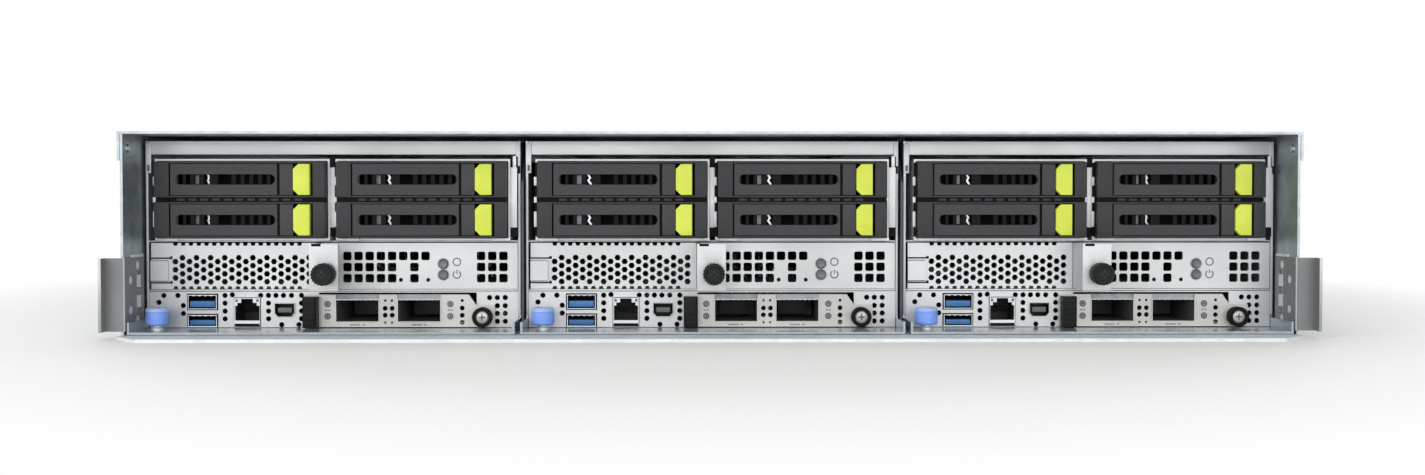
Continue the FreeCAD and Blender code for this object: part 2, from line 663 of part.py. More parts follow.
def heat_sink():
    low = "main_top + cpu_high"
    start = "cpu_middle - sink_long / 2"
    base = box("sink_base_plate", ("-sink_wide / 2", start, low),
               ("sink_wide", "sink_long", "sink_base"))
    chip = box("processor_frame", ("-cpu_wide / 2", "cpu_middle - cpu_wide / 2", "main_top"),
               ("cpu_wide", "cpu_wide", "cpu_high"))
    fins = [box(f"sink_fin_{step}", (f"{step} * fin_pitch - (fin_count - 1) * fin_pitch / 2"
                " - fin / 2", start, f"{low} + sink_base"),
                ("fin", "sink_long", f"sink_top - ({low}) - sink_base"))
            for step in range(SIZES["fin_count"])]
    return [fuse("heat_sink", [base] + fins), chip]


def memory_modules():
    pieces = []
    for side, sign in (("left", "-"), ("right", "")):
        for step in range(SIZES["memory_count"]):
            middle = f"{sign}(memory_first + {step} * memory_pitch)"
            name = f"memory_{side}_{step}"
            holder = box(name + "_holder", (f"{middle} - slot_wide / 2", "cpu_middle - slot_long / 2",
                         "main_top"), ("slot_wide", "slot_long", "slot_high"))
            board = box(name + "_board", (f"{middle} - memory_thick / 2",
                        "cpu_middle - memory_long / 2", "main_top + slot_high"),
                        ("memory_thick", "memory_long", "memory_high - memory_low"))
            pieces.append(fuse(name, [holder, board]))
    return pieces


def drive_backplane():
    low, high = "deck_low + deck_sheet", "cage_high"
    board = box("backplane_board", ("-sled_inside / 2", "backplane", low),
                ("sled_inside", "backplane_thick", high))
    plugs = []
    for across in range(2):
        for up in range(2):
            spot = (f"sled_left + carrier_left + {across} * carrier_pitch"
                    " + (carrier_width - connector_wide) / 2", "drive_rear + connector_gap",
                    f"carrier_low + {up} * carrier_step + (carrier_high - connector_high) / 2")
            plugs.append(box(f"drive_plug_{across}_{up}", spot,
                             ("connector_wide", "backplane - drive_rear - connector_gap",
                              "connector_high")))
    return fuse("drive_backplane", [board] + plugs)


def fan_frame(side, sign):
    middle = f"{sign}fan_step / 2"
    shell = box(f"fan_{side}_shell", (f"{middle} - fan_size / 2", "fan_front", "fan_low"),
                ("fan_size", "fan_deep", "fan_size"))
    bore = rod(f"fan_{side}_bore", (middle, "fan_front - 1", "fan_middle"), "fan_bore",
               "fan_deep + 2", "y")
    ring = cut(f"fan_{side}_ring", shell, [bore])
    rear = "fan_front + fan_deep - motor_deep"
    motor = rod(f"fan_{side}_motor", (middle, rear, "fan_middle"), "motor_radius", "motor_deep", "y")
    spindle = rod(f"fan_{side}_spindle", (middle, f"{rear} - spindle_long", "fan_middle"), "spindle",
                  "spindle_long", "y")
    flat = box(f"fan_{side}_strut_flat", (f"{middle} - fan_bore - 0.5", rear,
               "fan_middle - strut_wide / 2"), ("2 * fan_bore + 1", "motor_deep", "strut_wide"))
    tall = box(f"fan_{side}_strut_tall", (f"{middle} - strut_wide / 2", rear,
               "fan_middle - fan_bore - 0.5"), ("strut_wide", "motor_deep", "2 * fan_bore + 1"))
    return fuse(f"fan_frame_{side}", [ring, motor, spindle, flat, tall])


def sled_electronics():
    stack = "sled_left + stack_left"
    pieces = [mainboard()] + heat_sink() + memory_modules() + [drive_backplane()]
    pieces.append(box("riser_board", ("sled_left + riser_across", "face + riser_front", "main_top"),
                      ("board_thick", "riser_long", "shelf_low - main_top - seat_gap")))
    pieces.append(socket("bus_socket_lower", stack, "stack_low", "stack_wide", "stack_lower_high",
                         "stack_deep"))
    pieces.append(socket("bus_socket_upper", stack, "stack_upper_low", "stack_wide",
                         "stack_upper_high", "stack_deep"))
    pieces.append(network_jack())
    pieces.append(socket("video_socket", "sled_left + video_left", "video_low", "video_wide",
                         "video_high", "video_deep"))
    guide = box("guide_block", ("sled_left + button_across - guide_wide / 2",
                "face + face_sheet + seat_gap", "button_low + button_pitch / 2 - guide_high / 2"),
                ("guide_wide", "guide_deep", "guide_high"))
    room = "button_radius + button_fit"
    bores = [box(f"guide_bore_{step}", (f"sled_left + button_across - ({room})", "face",
                 f"button_low + {step} * button_pitch - ({room})"),
                 (f"2 * ({room})", "guide_deep + 3 * face_sheet", f"2 * ({room})"))
             for step in range(2)]
    pieces.append(cut("button_guide", guide, bores))
    pieces.append(box("switch_plate", ("sled_left + button_across - guide_wide / 2",
                      "face + face_sheet + 2 * seat_gap + guide_deep",
                      "button_low + button_pitch / 2 - guide_high / 2"),
                      ("guide_wide", "switch_board", "guide_high")))
    pieces += [fan_frame("left", "-"), fan_frame("right", "")]
    start = "fan_front + fan_deep + slide_gap"
    board = box("power_board", ("-power_wide / 2", start, "main_low"),
                ("power_wide", f"sled_rear - sled_sheet - seat_gap - ({start})", "board_thick"))
    posts = [hex_post(f"power_post_{step}", (f"({step} - 0.5) * (power_wide - 2 * standoff_inset)",
             "sled_rear - 2 * standoff_inset", "sled_floor"), "standoff", "main_low - sled_floor")
             for step in range(2)]
    pieces.append(fuse("power_board_on_posts", [board] + posts))
    plug = box("power_plug", ("-plug_wide / 2", "sled_rear - 2 * plug_reach", "plug_low"),
               ("plug_wide", "2 * plug_reach + rear_room - receptacle_wall - slide_gap",
                "plug_high"))
    return group("sled_electronics", pieces + [plug])


# Network card

def network_card():
    plate = body("card_plate")
    edge = sketch(plate, "card_edge", "XZ_Plane", "-face + card_gap")
    left, right = "sled_left + tab_left - 0.5", "sled_left + card_left + card_wide"
    top, ear = "card_low + card_high", "card_low + card_ear_high"
    outline(edge, [(left, "card_low"), (f"{right} + card_ear", "card_low"),
                   (f"{right} + card_ear", ear), (right, ear), (f"{right} - card_slope / 2", top),
                   (left, top)])
    pad(plate, edge, "card_sheet")
    ports = sketch(plate, "card_ports", "XZ_Plane", "-face + card_gap")
    for step in ("0", "1"):
        rectangle(ports, (f"sled_left + cage_first + {step} * cage_step", "port_low"),
                  ("port_wide", f"{top} - port_low + card_sheet"))
    pierce(plate, ports)
    pieces = [plate]
    wall = "port_wall"
    front = "face - card_gap - port_proud"
    for step in ("0", "1"):
        low_x = f"sled_left + cage_first + {step} * cage_step"
        shell = box(f"port_{step}_shell", (low_x, front, "port_low"),
                    ("port_wide", "port_deep", "port_high"))
        inside = box(f"port_{step}_inside", (f"{low_x} + {wall}", f"{front} - 1",
                     f"port_low + {wall}"), (f"port_wide - 2 * {wall}", "port_deep",
                     f"port_high - 2 * {wall}"))
        pieces.append(cut(f"transceiver_cage_{step}", shell, [inside]))
    pieces.append(box("card_board", ("sled_left + card_left + 1", "face - card_gap",
                      "card_board"), ("card_wide - 2", "card_deep", "board_thick")))
    tab_front = "face - card_gap - card_sheet - tab_deep"
    pieces.append(box("pull_tab", ("sled_left + tab_left", tab_front, "card_low"),
                      ("tab_wide", "tab_deep", "tab_high")))
    nose = "face - card_gap - card_sheet"
    ring = rod("ring_outer", ("sled_left + ring_across", f"{nose} - ring_long", "ring_height"),
               "ring_radius", "ring_long", "y")
    dish = rod("ring_dish", ("sled_left + ring_across", f"{nose} - ring_long - 1", "ring_height"),
               "ring_inner", "ring_step + 1", "y")
    pieces.append(cut("captive_screw", ring, [dish]))
    return group("network_card", pieces)


# Small moving pieces

def thumbscrew():
    nose = "face - raised_proud - slide_gap"
    made = turned("thumbscrew", [("0", f"{nose} - screw_head_long"),
                                 ("screw_head - 0.6", f"{nose} - screw_head_long"),
                                 ("screw_head", f"{nose} - screw_head_long + 0.6"),
                                 ("screw_head", nose), ("screw_shank", nose),
                                 ("screw_shank", f"{nose} + screw_shank_long"),
                                 ("0", f"{nose} + screw_shank_long")], "Y")
    place(made, ("sled_left + screw_across", "0", "screw_height"))
    return group("thumbscrew_piece", [made])


def release_plunger():
    top = "knob_low + knob_high"
    made = turned("plunger", [("0", "sled_low"), ("lock_pin", "sled_low"), ("lock_pin", "knob_low"),
                              ("knob_radius", "knob_low"), ("knob_radius", f"{top} - knob_round"),
                              ("knob_radius - knob_round", top), ("0", top)], "Z")
    place(made, ("sled_left + plunger_across", "plunger_deep", "0"))
    return group("release_plunger_piece", [made])


def push_button(name, step):
    front = "face - button_proud"
    made = turned(name, [("0", front), ("button_radius", front),
                         ("button_radius", f"{front} + button_long"),
                         ("0", f"{front} + button_long")], "Y")
    place(made, ("sled_left + button_across", "0", f"button_low + {step} * button_pitch"))
    return group(name + "_piece", [made])


def fan_rotor():
    """The rotor about its own middle: a many-sided hub with pitched blades that widen outwards."""
    made = body("rotor")
    hub = sketch(made, "hub_view", "XZ_Plane", "-hub_deep")
    turns = [360 * step / SIZES["hub_sides"] for step in range(SIZES["hub_sides"])]
    outline(hub, [(f"hub_radius * cos({turn} deg)", f"hub_radius * sin({turn} deg)") for turn in turns])
    pad(made, hub, "hub_deep")
    bore = sketch(made, "hub_bore", "XZ_Plane")
    disc(bore, ("0", "0"), "spindle + spindle_fit")
    pierce(made, bore)
    sections = []
    for end, radius, chord in (("root", "blade_root", "blade_chord"), ("tip", "fan_tip", "tip_chord")):
        drawn = sketch(made, f"blade_{end}", "YZ_Plane", radius)
        along = f"{chord} / 2 * cos(blade_angle * 1 deg)"
        up = f"{chord} / 2 * sin(blade_angle * 1 deg)"
        half = "blade_thick / 2"
        middle = "hub_deep / 2"
        outline(drawn, [(f"{middle} - {up}", f"{along} - {half}"),
                        (f"{middle} + {up}", f"-{along} - {half}"),
                        (f"{middle} + {up}", f"-{along} + {half}"),
                        (f"{middle} - {up}", f"{along} + {half}")])
        sections.append(drawn)
    blade = made.newObject("PartDesign::AdditiveLoft", "blade")
    blade.Profile = sections[0]
    blade.Sections = sections[1:]
    blade.Ruled = True
    spread = made.newObject("PartDesign::PolarPattern", "blades")
    spread.Originals = [blade]
    spread.Axis = ([item for item in made.Origin.OriginFeatures if item.Role == "Y_Axis"][0], [""])
    spread.Angle = 360
    bind(spread, "Occurrences", "blade_count")
    made.Tip = spread
    return made


# Drive carrier and lever, each about the carrier's lower left edge

def drive_carrier():
    back = "drive_rear - frame_front"
    block_high = "carrier_high - 2 * strap"
    blocks = [box("block_a", ("0", "carrier_front", "strap / 2"),
                  ("block_left", "bezel_deep", "carrier_high - strap")),
              box("block_b", ("carrier_width - block_right", "carrier_front", "strap / 2"),
                  ("block_right", "bezel_deep", "carrier_high - strap"))]
    rails = [box("rail_a", ("0", "frame_front - 1", "strap / 2"), ("rib", f"{back} + 1", block_high)),
             box("rail_b", ("carrier_width - rib", "frame_front - 1", "strap / 2"),
                 ("rib", f"{back} + 1", block_high))]
    straps = [box(f"strap_{side}", ("0", "carrier_front + lever_gap", low),
                  ("carrier_width", "bezel_deep - lever_gap", "strap"))
              for side, low in (("low", "0"), ("high", "carrier_high - strap"))]
    pin = rod("hinge_pin", ("hinge_across", "hinge_deep", "strap / 2"), "pin_radius",
              "carrier_high - strap")
    frame = fuse("carrier_frame", blocks + rails + straps + [pin])
    drive = box("drive", ("(carrier_width - drive_wide) / 2", "drive_front",
                "(carrier_high - drive_high) / 2"), ("drive_wide", "drive_long", "drive_high"))
    return group("drive_carrier", [frame, drive])


def drive_lever():
    arm = body("lever_arm")
    view = sketch(arm, "lever_view", "XZ_Plane", "-carrier_front - lever_thick")
    rectangle(view, ("hinge_across", "lever_low"), ("(grip_left - hinge_across)", "lever_high"))
    pad(arm, view, "lever_thick")
    knuckle = sketch(arm, "lever_knuckle", "XY_Plane", "lever_low")
    disc(knuckle, ("hinge_across", "hinge_deep"), "knuckle_radius")
    pad(arm, knuckle, "lever_high")
    bore = sketch(arm, "lever_bore", "XY_Plane", "lever_low")
    disc(bore, ("hinge_across", "hinge_deep"), "pin_radius + pin_fit")
    pierce(arm, bore)
    for part, left in (("left", "vent_left"), ("right", "vent_right")):
        slot = sketch(arm, f"vent_{part}", "XZ_Plane", "-carrier_front")
        rectangle(slot, (left, "vent_low"), ("vent_slot", "vent_high"))
        grid(arm, pierce(arm, slot), slot, ("vent_count", "vent_pitch"), ("1", "vent_pitch"))
    wide = sketch(arm, "vent_wide", "XZ_Plane", "-carrier_front")
    rectangle(wide, ("vent_middle", "vent_low"), ("vent_window", "vent_high"))
    pierce(arm, wide)
    grip = body("lever_grip")
    face = sketch(grip, "grip_view", "XZ_Plane", "-carrier_front - lever_thick")
    left, right, top = "grip_left", "grip_left + grip_wide", "lever_low + lever_high"
    outline(face, [(f"{left} + grip_cut", "lever_low"), (right, "lever_low"), (right, top),
                   (f"{left} + grip_cut", top), (left, f"{top} - grip_cut"),
                   (left, "lever_low + grip_cut")])
    pad(grip, face, "lever_thick + grip_proud")
    return group("drive_lever", [arm, grip])


# The assembly

SLEDS = {"left": "-sled_pitch", "middle": "0", "right": "sled_pitch"}
BAYS = {"1": ("0", "carrier_step"), "2": ("carrier_pitch", "carrier_step"),
        "3": ("0", "0"), "4": ("carrier_pitch", "0")}
nodes = []


def keep(made, label):
    made.Label = label
    nodes.append(made)


def copy_of(master, label, spot):
    made = doc.addObject("App::Link", label)
    made.LinkedObject = master
    place(made, spot)
    keep(made, label)


def assemble():
    for make in (chassis_floor, chassis_walls, chassis_cover, chassis_dividers, rack_ears,
                 power_backplane):
        piece = make()
        keep(piece, piece.Name)
    masters = {"sled_tray": sled_tray(), "sled_front": sled_front(),
               "sled_electronics": sled_electronics(), "network_card": network_card(),
               "thumbscrew": thumbscrew(), "release_plunger": release_plunger(),
               "power_button": push_button("power_button", "0"),
               "identify_button": push_button("identify_button", "1")}
    for name, master in masters.items():
        master.Label = name + "_master"
    rotor, carrier, lever = fan_rotor(), drive_carrier(), drive_lever()
    for sled, shift in SLEDS.items():
        for name, master in masters.items():
            copy_of(master, f"{name}_{sled}", (shift, "0", "0"))
        for side, sign in (("left", "-"), ("right", "+")):
            copy_of(rotor, f"fan_rotor_{sled}_{side}", (f"{shift} {sign} fan_step / 2",
                    "fan_front + fan_deep - motor_deep - rotor_gap - hub_deep", "fan_middle"))
        for bay, (across, up) in BAYS.items():
            spot = (f"{shift} + sled_left + carrier_left + {across}", "0", f"carrier_low + {up}")
            copy_of(carrier, f"drive_carrier_{sled}_{bay}", spot)
            copy_of(lever, f"drive_lever_{sled}_{bay}", spot)


def write_nodes():
    doc.recompute()
    for made in doc.Objects:
        if "Invalid" in made.State or "Error" in made.State:
            raise RuntimeError(f"{made.Name} failed: {made.State}")
    for node in nodes:
        if node.Shape.isNull() or not node.Shape.isValid():
            raise RuntimeError(f"{node.Label} has no valid shape")
    os.makedirs("parts", exist_ok=True)
    for node in nodes:
        node.Shape.exportStep(f"parts/{node.Label}.step")


assemble()
write_nodes()
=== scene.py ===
"""Looks of a low rack chassis that holds three slide-in server sleds side by side.

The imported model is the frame, and every piece is placed in its coordinates: X points right, Y
from the front to the rear, Z up, from the middle of the underside. Sizes are in millimetres and
become metres when a mesh is made. A sled's pieces are drawn about the middle of the chassis and
shifted sideways for each sled.
"""

from __future__ import annotations

import logging
import math
from dataclasses import dataclass, field, replace
from enum import Enum
from functools import cache
from typing import Any, Iterable, Sequence

import bmesh
import bpy
from mathutils import Matrix, Vector

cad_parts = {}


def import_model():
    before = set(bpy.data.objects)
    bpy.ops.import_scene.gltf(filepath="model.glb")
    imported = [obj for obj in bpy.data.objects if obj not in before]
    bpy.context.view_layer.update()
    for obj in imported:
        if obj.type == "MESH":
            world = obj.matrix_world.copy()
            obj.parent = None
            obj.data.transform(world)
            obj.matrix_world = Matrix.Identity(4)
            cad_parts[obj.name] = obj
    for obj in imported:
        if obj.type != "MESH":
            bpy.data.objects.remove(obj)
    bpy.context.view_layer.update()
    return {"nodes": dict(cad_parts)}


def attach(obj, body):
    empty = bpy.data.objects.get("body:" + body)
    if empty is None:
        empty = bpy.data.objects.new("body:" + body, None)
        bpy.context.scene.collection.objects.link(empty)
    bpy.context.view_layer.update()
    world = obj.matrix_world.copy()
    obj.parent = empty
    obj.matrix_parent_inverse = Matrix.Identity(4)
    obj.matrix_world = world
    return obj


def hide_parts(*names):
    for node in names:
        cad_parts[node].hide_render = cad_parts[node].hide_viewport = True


LOG = logging.getLogger("server_chassis")
MM = 0.001
SAME_POINT = 1e-6
FLAT_BELOW = 0.01
SMOOTH_BELOW = math.radians(35)
SLED_FACE = -350.0
BUTTON_ACROSS = 50.9
BUTTON_HEIGHTS = (27.2, 32.3)
Point = tuple[float, float]
Spot = tuple[float, float, float]
ORIGIN: Point = (0.0, 0.0)


class Sled(Enum):
    """The three sleds, by how far each lies to the right of the middle."""

    LEFT = -176.5
    MIDDLE = 0.0
    RIGHT = 176.5

    @property
    def word(self) -> str:
        """The sled's word in the names of nodes and bodies."""
        return self.name.lower()


class Bay(Enum):
    """A sled's drive bays: number, and left side and underside of the carrier in each."""

    UPPER_LEFT = ("1", -81.1, 63.3)
    UPPER_RIGHT = ("2", 2.6, 63.3)
    LOWER_LEFT = ("3", -81.1, 44.6)
    LOWER_RIGHT = ("4", 2.6, 44.6)

    @property
    def number(self) -> str:
        """The bay's number in the names of nodes and bodies."""
        return self.value[0]

    def place(self, sled: Sled) -> Spot:
        """Where this bay's carrier starts in a sled."""
        return (sled.value + self.value[1], 0.0, self.value[2])


class Axis(Enum):
    """The direction along which a profile is drawn out or turned."""

    X = 0
    Y = 1
    Z = 2

    def spot(self, across: float, up: float, along: float) -> Vector:
        """A point of a profile, in metres.

        Args:
            across: First coordinate in the profile's plane, in millimetres.
            up: Second coordinate in the profile's plane.
            along: Coordinate along this axis.

        Returns:
            The point in the model's frame.
        """
        order = {Axis.X: (along, across, up), Axis.Y: (across, along, up),
                 Axis.Z: (across, up, along)}
        return Vector(order[self]) * MM


class Grain(Enum):
    """The fine texture of a finish, by how far it is stretched along X, Y and Z."""

    MOULDED = (1.0, 1.0, 1.0)
    ROLLED = (1.0, 0.06, 1.0)
    DRAWN = (0.06, 1.0, 1.0)


class Pattern(Enum):
    """What a finish's second colour follows."""

    PATCHES = "patches"
    SPANGLE = "spangle"
    TRACKS = "tracks"


class Wiring:
    """Adds nodes to a node tree and joins them."""

    def __init__(self, tree: bpy.types.NodeTree) -> None:
        """Keeps the tree that is worked on."""
        self.tree = tree

    def add(self, kind: str, inputs: dict[str | int, Any] | None = None,
            **settings: Any) -> bpy.types.Node:
        """Adds one node.

        Args:
            kind: The node's type.
            inputs: A value, or a socket to join, for each input by name or number.
            **settings: The node's own properties.

        Returns:
            The new node.
        """
        node = self.tree.nodes.new(kind)
        for name, value in settings.items():
            setattr(node, name, value)
        for key, value in (inputs or {}).items():
            if isinstance(value, bpy.types.NodeSocket):
                self.tree.links.new(value, node.inputs[key])
            else:
                node.inputs[key].default_value = value
        return node

    def sockets(self, into: dict[str, str], out: dict[str, str]) -> tuple[Any, Any]:
        """Gives the tree its named inputs and outputs.

        Args:
            into: Socket type for each input's name.
            out: Socket type for each output's name.

        Returns:
            The group's input and output nodes.
        """
        for way, names in (("INPUT", into), ("OUTPUT", out)):
            for name, kind in names.items():
                self.tree.interface.new_socket(name, in_out=way, socket_type=kind)
        return self.add("NodeGroupInput"), self.add("NodeGroupOutput")


MASK_INPUTS = {"Vector": "NodeSocketVector", "Scale": "NodeSocketFloat"}
MASK_OUTPUT = {"Mask": "NodeSocketFloat"}


@cache
def uneven_patches() -> bpy.types.NodeTree:
    """Makes soft patches, as handling and plating leave them.

    Returns:
        The shader group.
    """
    tree = bpy.data.node_groups.new("uneven_patches", "ShaderNodeTree")
    wiring = Wiring(tree)
    into, out = wiring.sockets(MASK_INPUTS, MASK_OUTPUT)
    noise = wiring.add("ShaderNodeTexNoise", {"Vector": into.outputs["Vector"],
                                              "Scale": into.outputs["Scale"], "Detail": 4.0})
    spread = wiring.add("ShaderNodeMapRange", {"Value": noise.outputs[0], "From Min": 0.32,
                                               "From Max": 0.68})
    tree.links.new(spread.outputs[0], out.inputs["Mask"])
    return tree


@cache
def fine_grain() -> bpy.types.NodeTree:
    """Makes the fine height of a moulded, rolled or drawn surface.

    Returns:
        The shader group.
    """
    tree = bpy.data.node_groups.new("fine_grain", "ShaderNodeTree")
    wiring = Wiring(tree)
    into, out = wiring.sockets({"Vector": "NodeSocketVector", "Stretch": "NodeSocketVector",
                                "Scale": "NodeSocketFloat"}, {"Height": "NodeSocketFloat"})
    drawn = wiring.add("ShaderNodeVectorMath", {0: into.outputs["Vector"],
                                                1: into.outputs["Stretch"]}, operation="MULTIPLY")
    noise = wiring.add("ShaderNodeTexNoise", {"Vector": drawn.outputs[0], "Detail": 3.0,
                                              "Scale": into.outputs["Scale"]})
    tree.links.new(noise.outputs[0], out.inputs["Height"])
    return tree


@cache
def zinc_spangle() -> bpy.types.NodeTree:
    """Makes the crystals of a zinc coat.

    Returns:
        The shader group.
    """
    tree = bpy.data.node_groups.new("zinc_spangle", "ShaderNodeTree")
    wiring = Wiring(tree)
    into, out = wiring.sockets(MASK_INPUTS, MASK_OUTPUT)
    cells = wiring.add("ShaderNodeTexVoronoi", {"Vector": into.outputs["Vector"],
                                                "Scale": into.outputs["Scale"]})
    shade = wiring.add("ShaderNodeSeparateColor", {0: cells.outputs["Color"]})
    tree.links.new(shade.outputs[0], out.inputs["Mask"])
    return tree


@cache
def board_tracks() -> bpy.types.NodeTree:
    """Marks the tracks of a circuit board, along X in some cells and Y in others.

    Returns:
        The shader group.
    """
    tree = bpy.data.node_groups.new("board_tracks", "ShaderNodeTree")
    wiring = Wiring(tree)
    into, out = wiring.sockets(MASK_INPUTS, MASK_OUTPUT)
    spot, scale = into.outputs["Vector"], into.outputs["Scale"]
    lines = [wiring.add("ShaderNodeTexWave", {"Vector": spot, "Scale": scale, "Distortion": 0.6,
                                              "Detail": 1.0}, bands_direction=way).outputs[0]
             for way in ("X", "Y")]
    share = wiring.add("ShaderNodeMath", {0: scale, 1: 0.16}, operation="MULTIPLY")
    cells = wiring.add("ShaderNodeTexVoronoi", {"Vector": spot, "Scale": share.outputs[0]},
                       distance="CHEBYCHEV")
    side = wiring.add("ShaderNodeSeparateColor", {0: cells.outputs["Color"]})
    pick = wiring.add("ShaderNodeMath", {0: side.outputs[0], 1: 0.5}, operation="GREATER_THAN")
    chosen = wiring.add("ShaderNodeMix", {0: pick.outputs[0], 2: lines[0], 3: lines[1]})
    edge = wiring.add("ShaderNodeMapRange", {"Value": chosen.outputs[0], "From Min": 0.72,
                                             "From Max": 0.82})
    tree.links.new(edge.outputs[0], out.inputs["Mask"])
    return tree


def linear(shade: str) -> tuple[float, float, float, float]:
    """Turns a colour written as six hexadecimal digits into linear light.

    Args:
        shade: The colour as it should look on screen.

    Returns:
        Red, green, blue and alpha.
    """
    parts = [int(shade[start:start + 2], 16) / 255 for start in (0, 2, 4)]
    light = [c / 12.92 if c <= 0.04045 else ((c + 0.055) / 1.055) ** 2.4 for c in parts]
    return (light[0], light[1], light[2], 1.0)


@dataclass(frozen=True)
class Finish:
    """One surface finish: its two colours, its gloss and its grain."""

    name: str
    shade: str
    second: str
    roughness: tuple[float, float]
    metallic: float = 0.0
    pattern: Pattern = Pattern.PATCHES
    pattern_scale: float = 28.0
    grain: Grain = Grain.MOULDED
    grain_scale: float = 2600.0
    grain_depth: float = 0.02
    coat: float = 0.0
    specular: float = 0.5

    @cache
    def material(self) -> bpy.types.Material:
        """Makes this finish's material when it is first asked for.

        Returns:
            The material.
        """
        made = bpy.data.materials.new(f"{self.name}_finish")
        made.use_nodes = True
        wiring = Wiring(made.node_tree)
        shader = made.node_tree.nodes["Principled BSDF"]
        spot = wiring.add("ShaderNodeTexCoord").outputs["Object"]
        patches = wiring.add("ShaderNodeGroup", {"Vector": spot, "Scale": self.pattern_scale},
                             node_tree=uneven_patches())
        follows = {Pattern.PATCHES: uneven_patches, Pattern.SPANGLE: zinc_spangle,
                   Pattern.TRACKS: board_tracks}[self.pattern]
        marks = wiring.add("ShaderNodeGroup", {"Vector": spot, "Scale": self.pattern_scale},
                           node_tree=follows())
        colour = wiring.add("ShaderNodeMix", {0: marks.outputs["Mask"], 6: linear(self.shade),
                                              7: linear(self.second)}, data_type="RGBA")
        gloss = wiring.add("ShaderNodeMapRange", {"Value": patches.outputs["Mask"],
                                                  "To Min": self.roughness[0],
                                                  "To Max": self.roughness[1]})
        grain = wiring.add("ShaderNodeGroup", {"Vector": spot, "Stretch": self.grain.value,
                                               "Scale": self.grain_scale}, node_tree=fine_grain())
        bump = wiring.add("ShaderNodeBump", {"Strength": 0.35, "Distance": self.grain_depth * MM,
                                             "Height": grain.outputs["Height"]})
        links = made.node_tree.links
        links.new(colour.outputs[2], shader.inputs["Base Color"])
        links.new(gloss.outputs[0], shader.inputs["Roughness"])
        links.new(bump.outputs[0], shader.inputs["Normal"])
        shader.inputs["Metallic"].default_value = self.metallic
        shader.inputs["Coat Weight"].default_value = self.coat
        shader.inputs["Specular IOR Level"].default_value = self.specular
        return made


ZINC = Finish("zinc_sheet", "B4BCBF", "A3ACB0", (0.38, 0.52), 0.85, Pattern.SPANGLE, 170.0,
              Grain.ROLLED, 900.0, 0.02)
# The floor's zinc is a lighter, less metallic copy of the sheet zinc: painted sheen standing in for
# the bright reflection on the floor's front lip.
LIT_FLOOR_ZINC = replace(ZINC, name="floor_zinc", shade="E4E9EC", second="D8DEE2",
                     roughness=(0.50, 0.62), metallic=0.3, specular=0.3)
TRAY_ZINC = replace(ZINC, name="tray_zinc", shade="AEB5BA", second="A8AFB4",
                    roughness=(0.18, 0.24), metallic=0.5, grain_depth=0.004)
# The dividers' zinc is a much darker copy of the sheet zinc: painted shade for their recessed front
# edges.
SHADED_DIVIDER_ZINC = replace(ZINC, name="divider_zinc", shade="4C5154", second="464B4E",
                       roughness=(0.45, 0.58), metallic=0.6)
EAR_STEEL = Finish("ear_steel", "848586", "7A7B7C", (0.40, 0.55), 0.3, grain=Grain.ROLLED,
                   grain_scale=1200.0)
# Pale steel for cut edges and button rims; on the ears' rounded bend it is a painted highlight.
EDGE_STEEL_AND_HIGHLIGHT = Finish("ear_cut_edge", "A9AAAB", "9C9D9E", (0.3, 0.4), 0.7)
SLED_STEEL = Finish("sled_steel", "DDDFE0", "D2D4D5", (0.42, 0.55), 0.45, pattern_scale=20.0,
                    grain=Grain.ROLLED, grain_scale=1500.0, grain_depth=0.012)
FACE_STEEL = replace(SLED_STEEL, name="face_steel", shade="D1D3D4", second="C7C9CA")
CARD_STEEL = Finish("card_steel", "C3C2BF", "B8B7B4", (0.36, 0.50), 0.45, grain=Grain.DRAWN,
                    grain_scale=1500.0, grain_depth=0.01)
BRIGHT_METAL = Finish("bright_metal", "C6C9CB", "B8BBBE", (0.22, 0.34), 0.95, grain=Grain.DRAWN,
                      grain_depth=0.006)
ALUMINIUM = Finish("aluminium", "C9CCCE", "B9BDBF", (0.32, 0.46), 1.0, grain=Grain.ROLLED)
COOLER_METAL = Finish("cooler_metal", "B2B5B8", "A4A7AA", (0.42, 0.55), 0.7, grain=Grain.ROLLED)
DRIVE_CASE = Finish("drive_case", "B4B7BA", "A6A9AC", (0.34, 0.48), 0.9, grain=Grain.ROLLED)
CAGE_INSIDE = Finish("cage_inside", "A2A5A8", "8E9194", (0.4, 0.52), 0.3, grain=Grain.ROLLED)
# A darker copy of the cage metal for the transceiver cages' insides: painted shade.
CAGE_PAINTED_SHADE = replace(CAGE_INSIDE, name="cage_lining", shade="6C6F72", second="606366")
GASKET = Finish("cage_gasket", "B9BBBD", "A3A5A7", (0.45, 0.6), 0.3, pattern_scale=220.0,
                grain=Grain.DRAWN)
BRASS = Finish("gilt_contact", "D8B45F", "C69E49", (0.22, 0.32), 1.0)
COPPER = Finish("copper", "C4825C", "B0704B", (0.26, 0.38), 1.0)
BOARD = Finish("board_green", "17492F", "23643F", (0.30, 0.42), 0.0, Pattern.TRACKS, 130.0,
               coat=0.3)
CHIP = Finish("chip_black", "1E2022", "272A2C", (0.42, 0.55), specular=0.3)
FAN_PLASTIC = replace(CHIP, name="fan_plastic", shade="1F2021", second="282A2B")
BLACK_PLASTIC = Finish("black_plastic", "121314", "1A1B1C", (0.44, 0.56), specular=0.2)
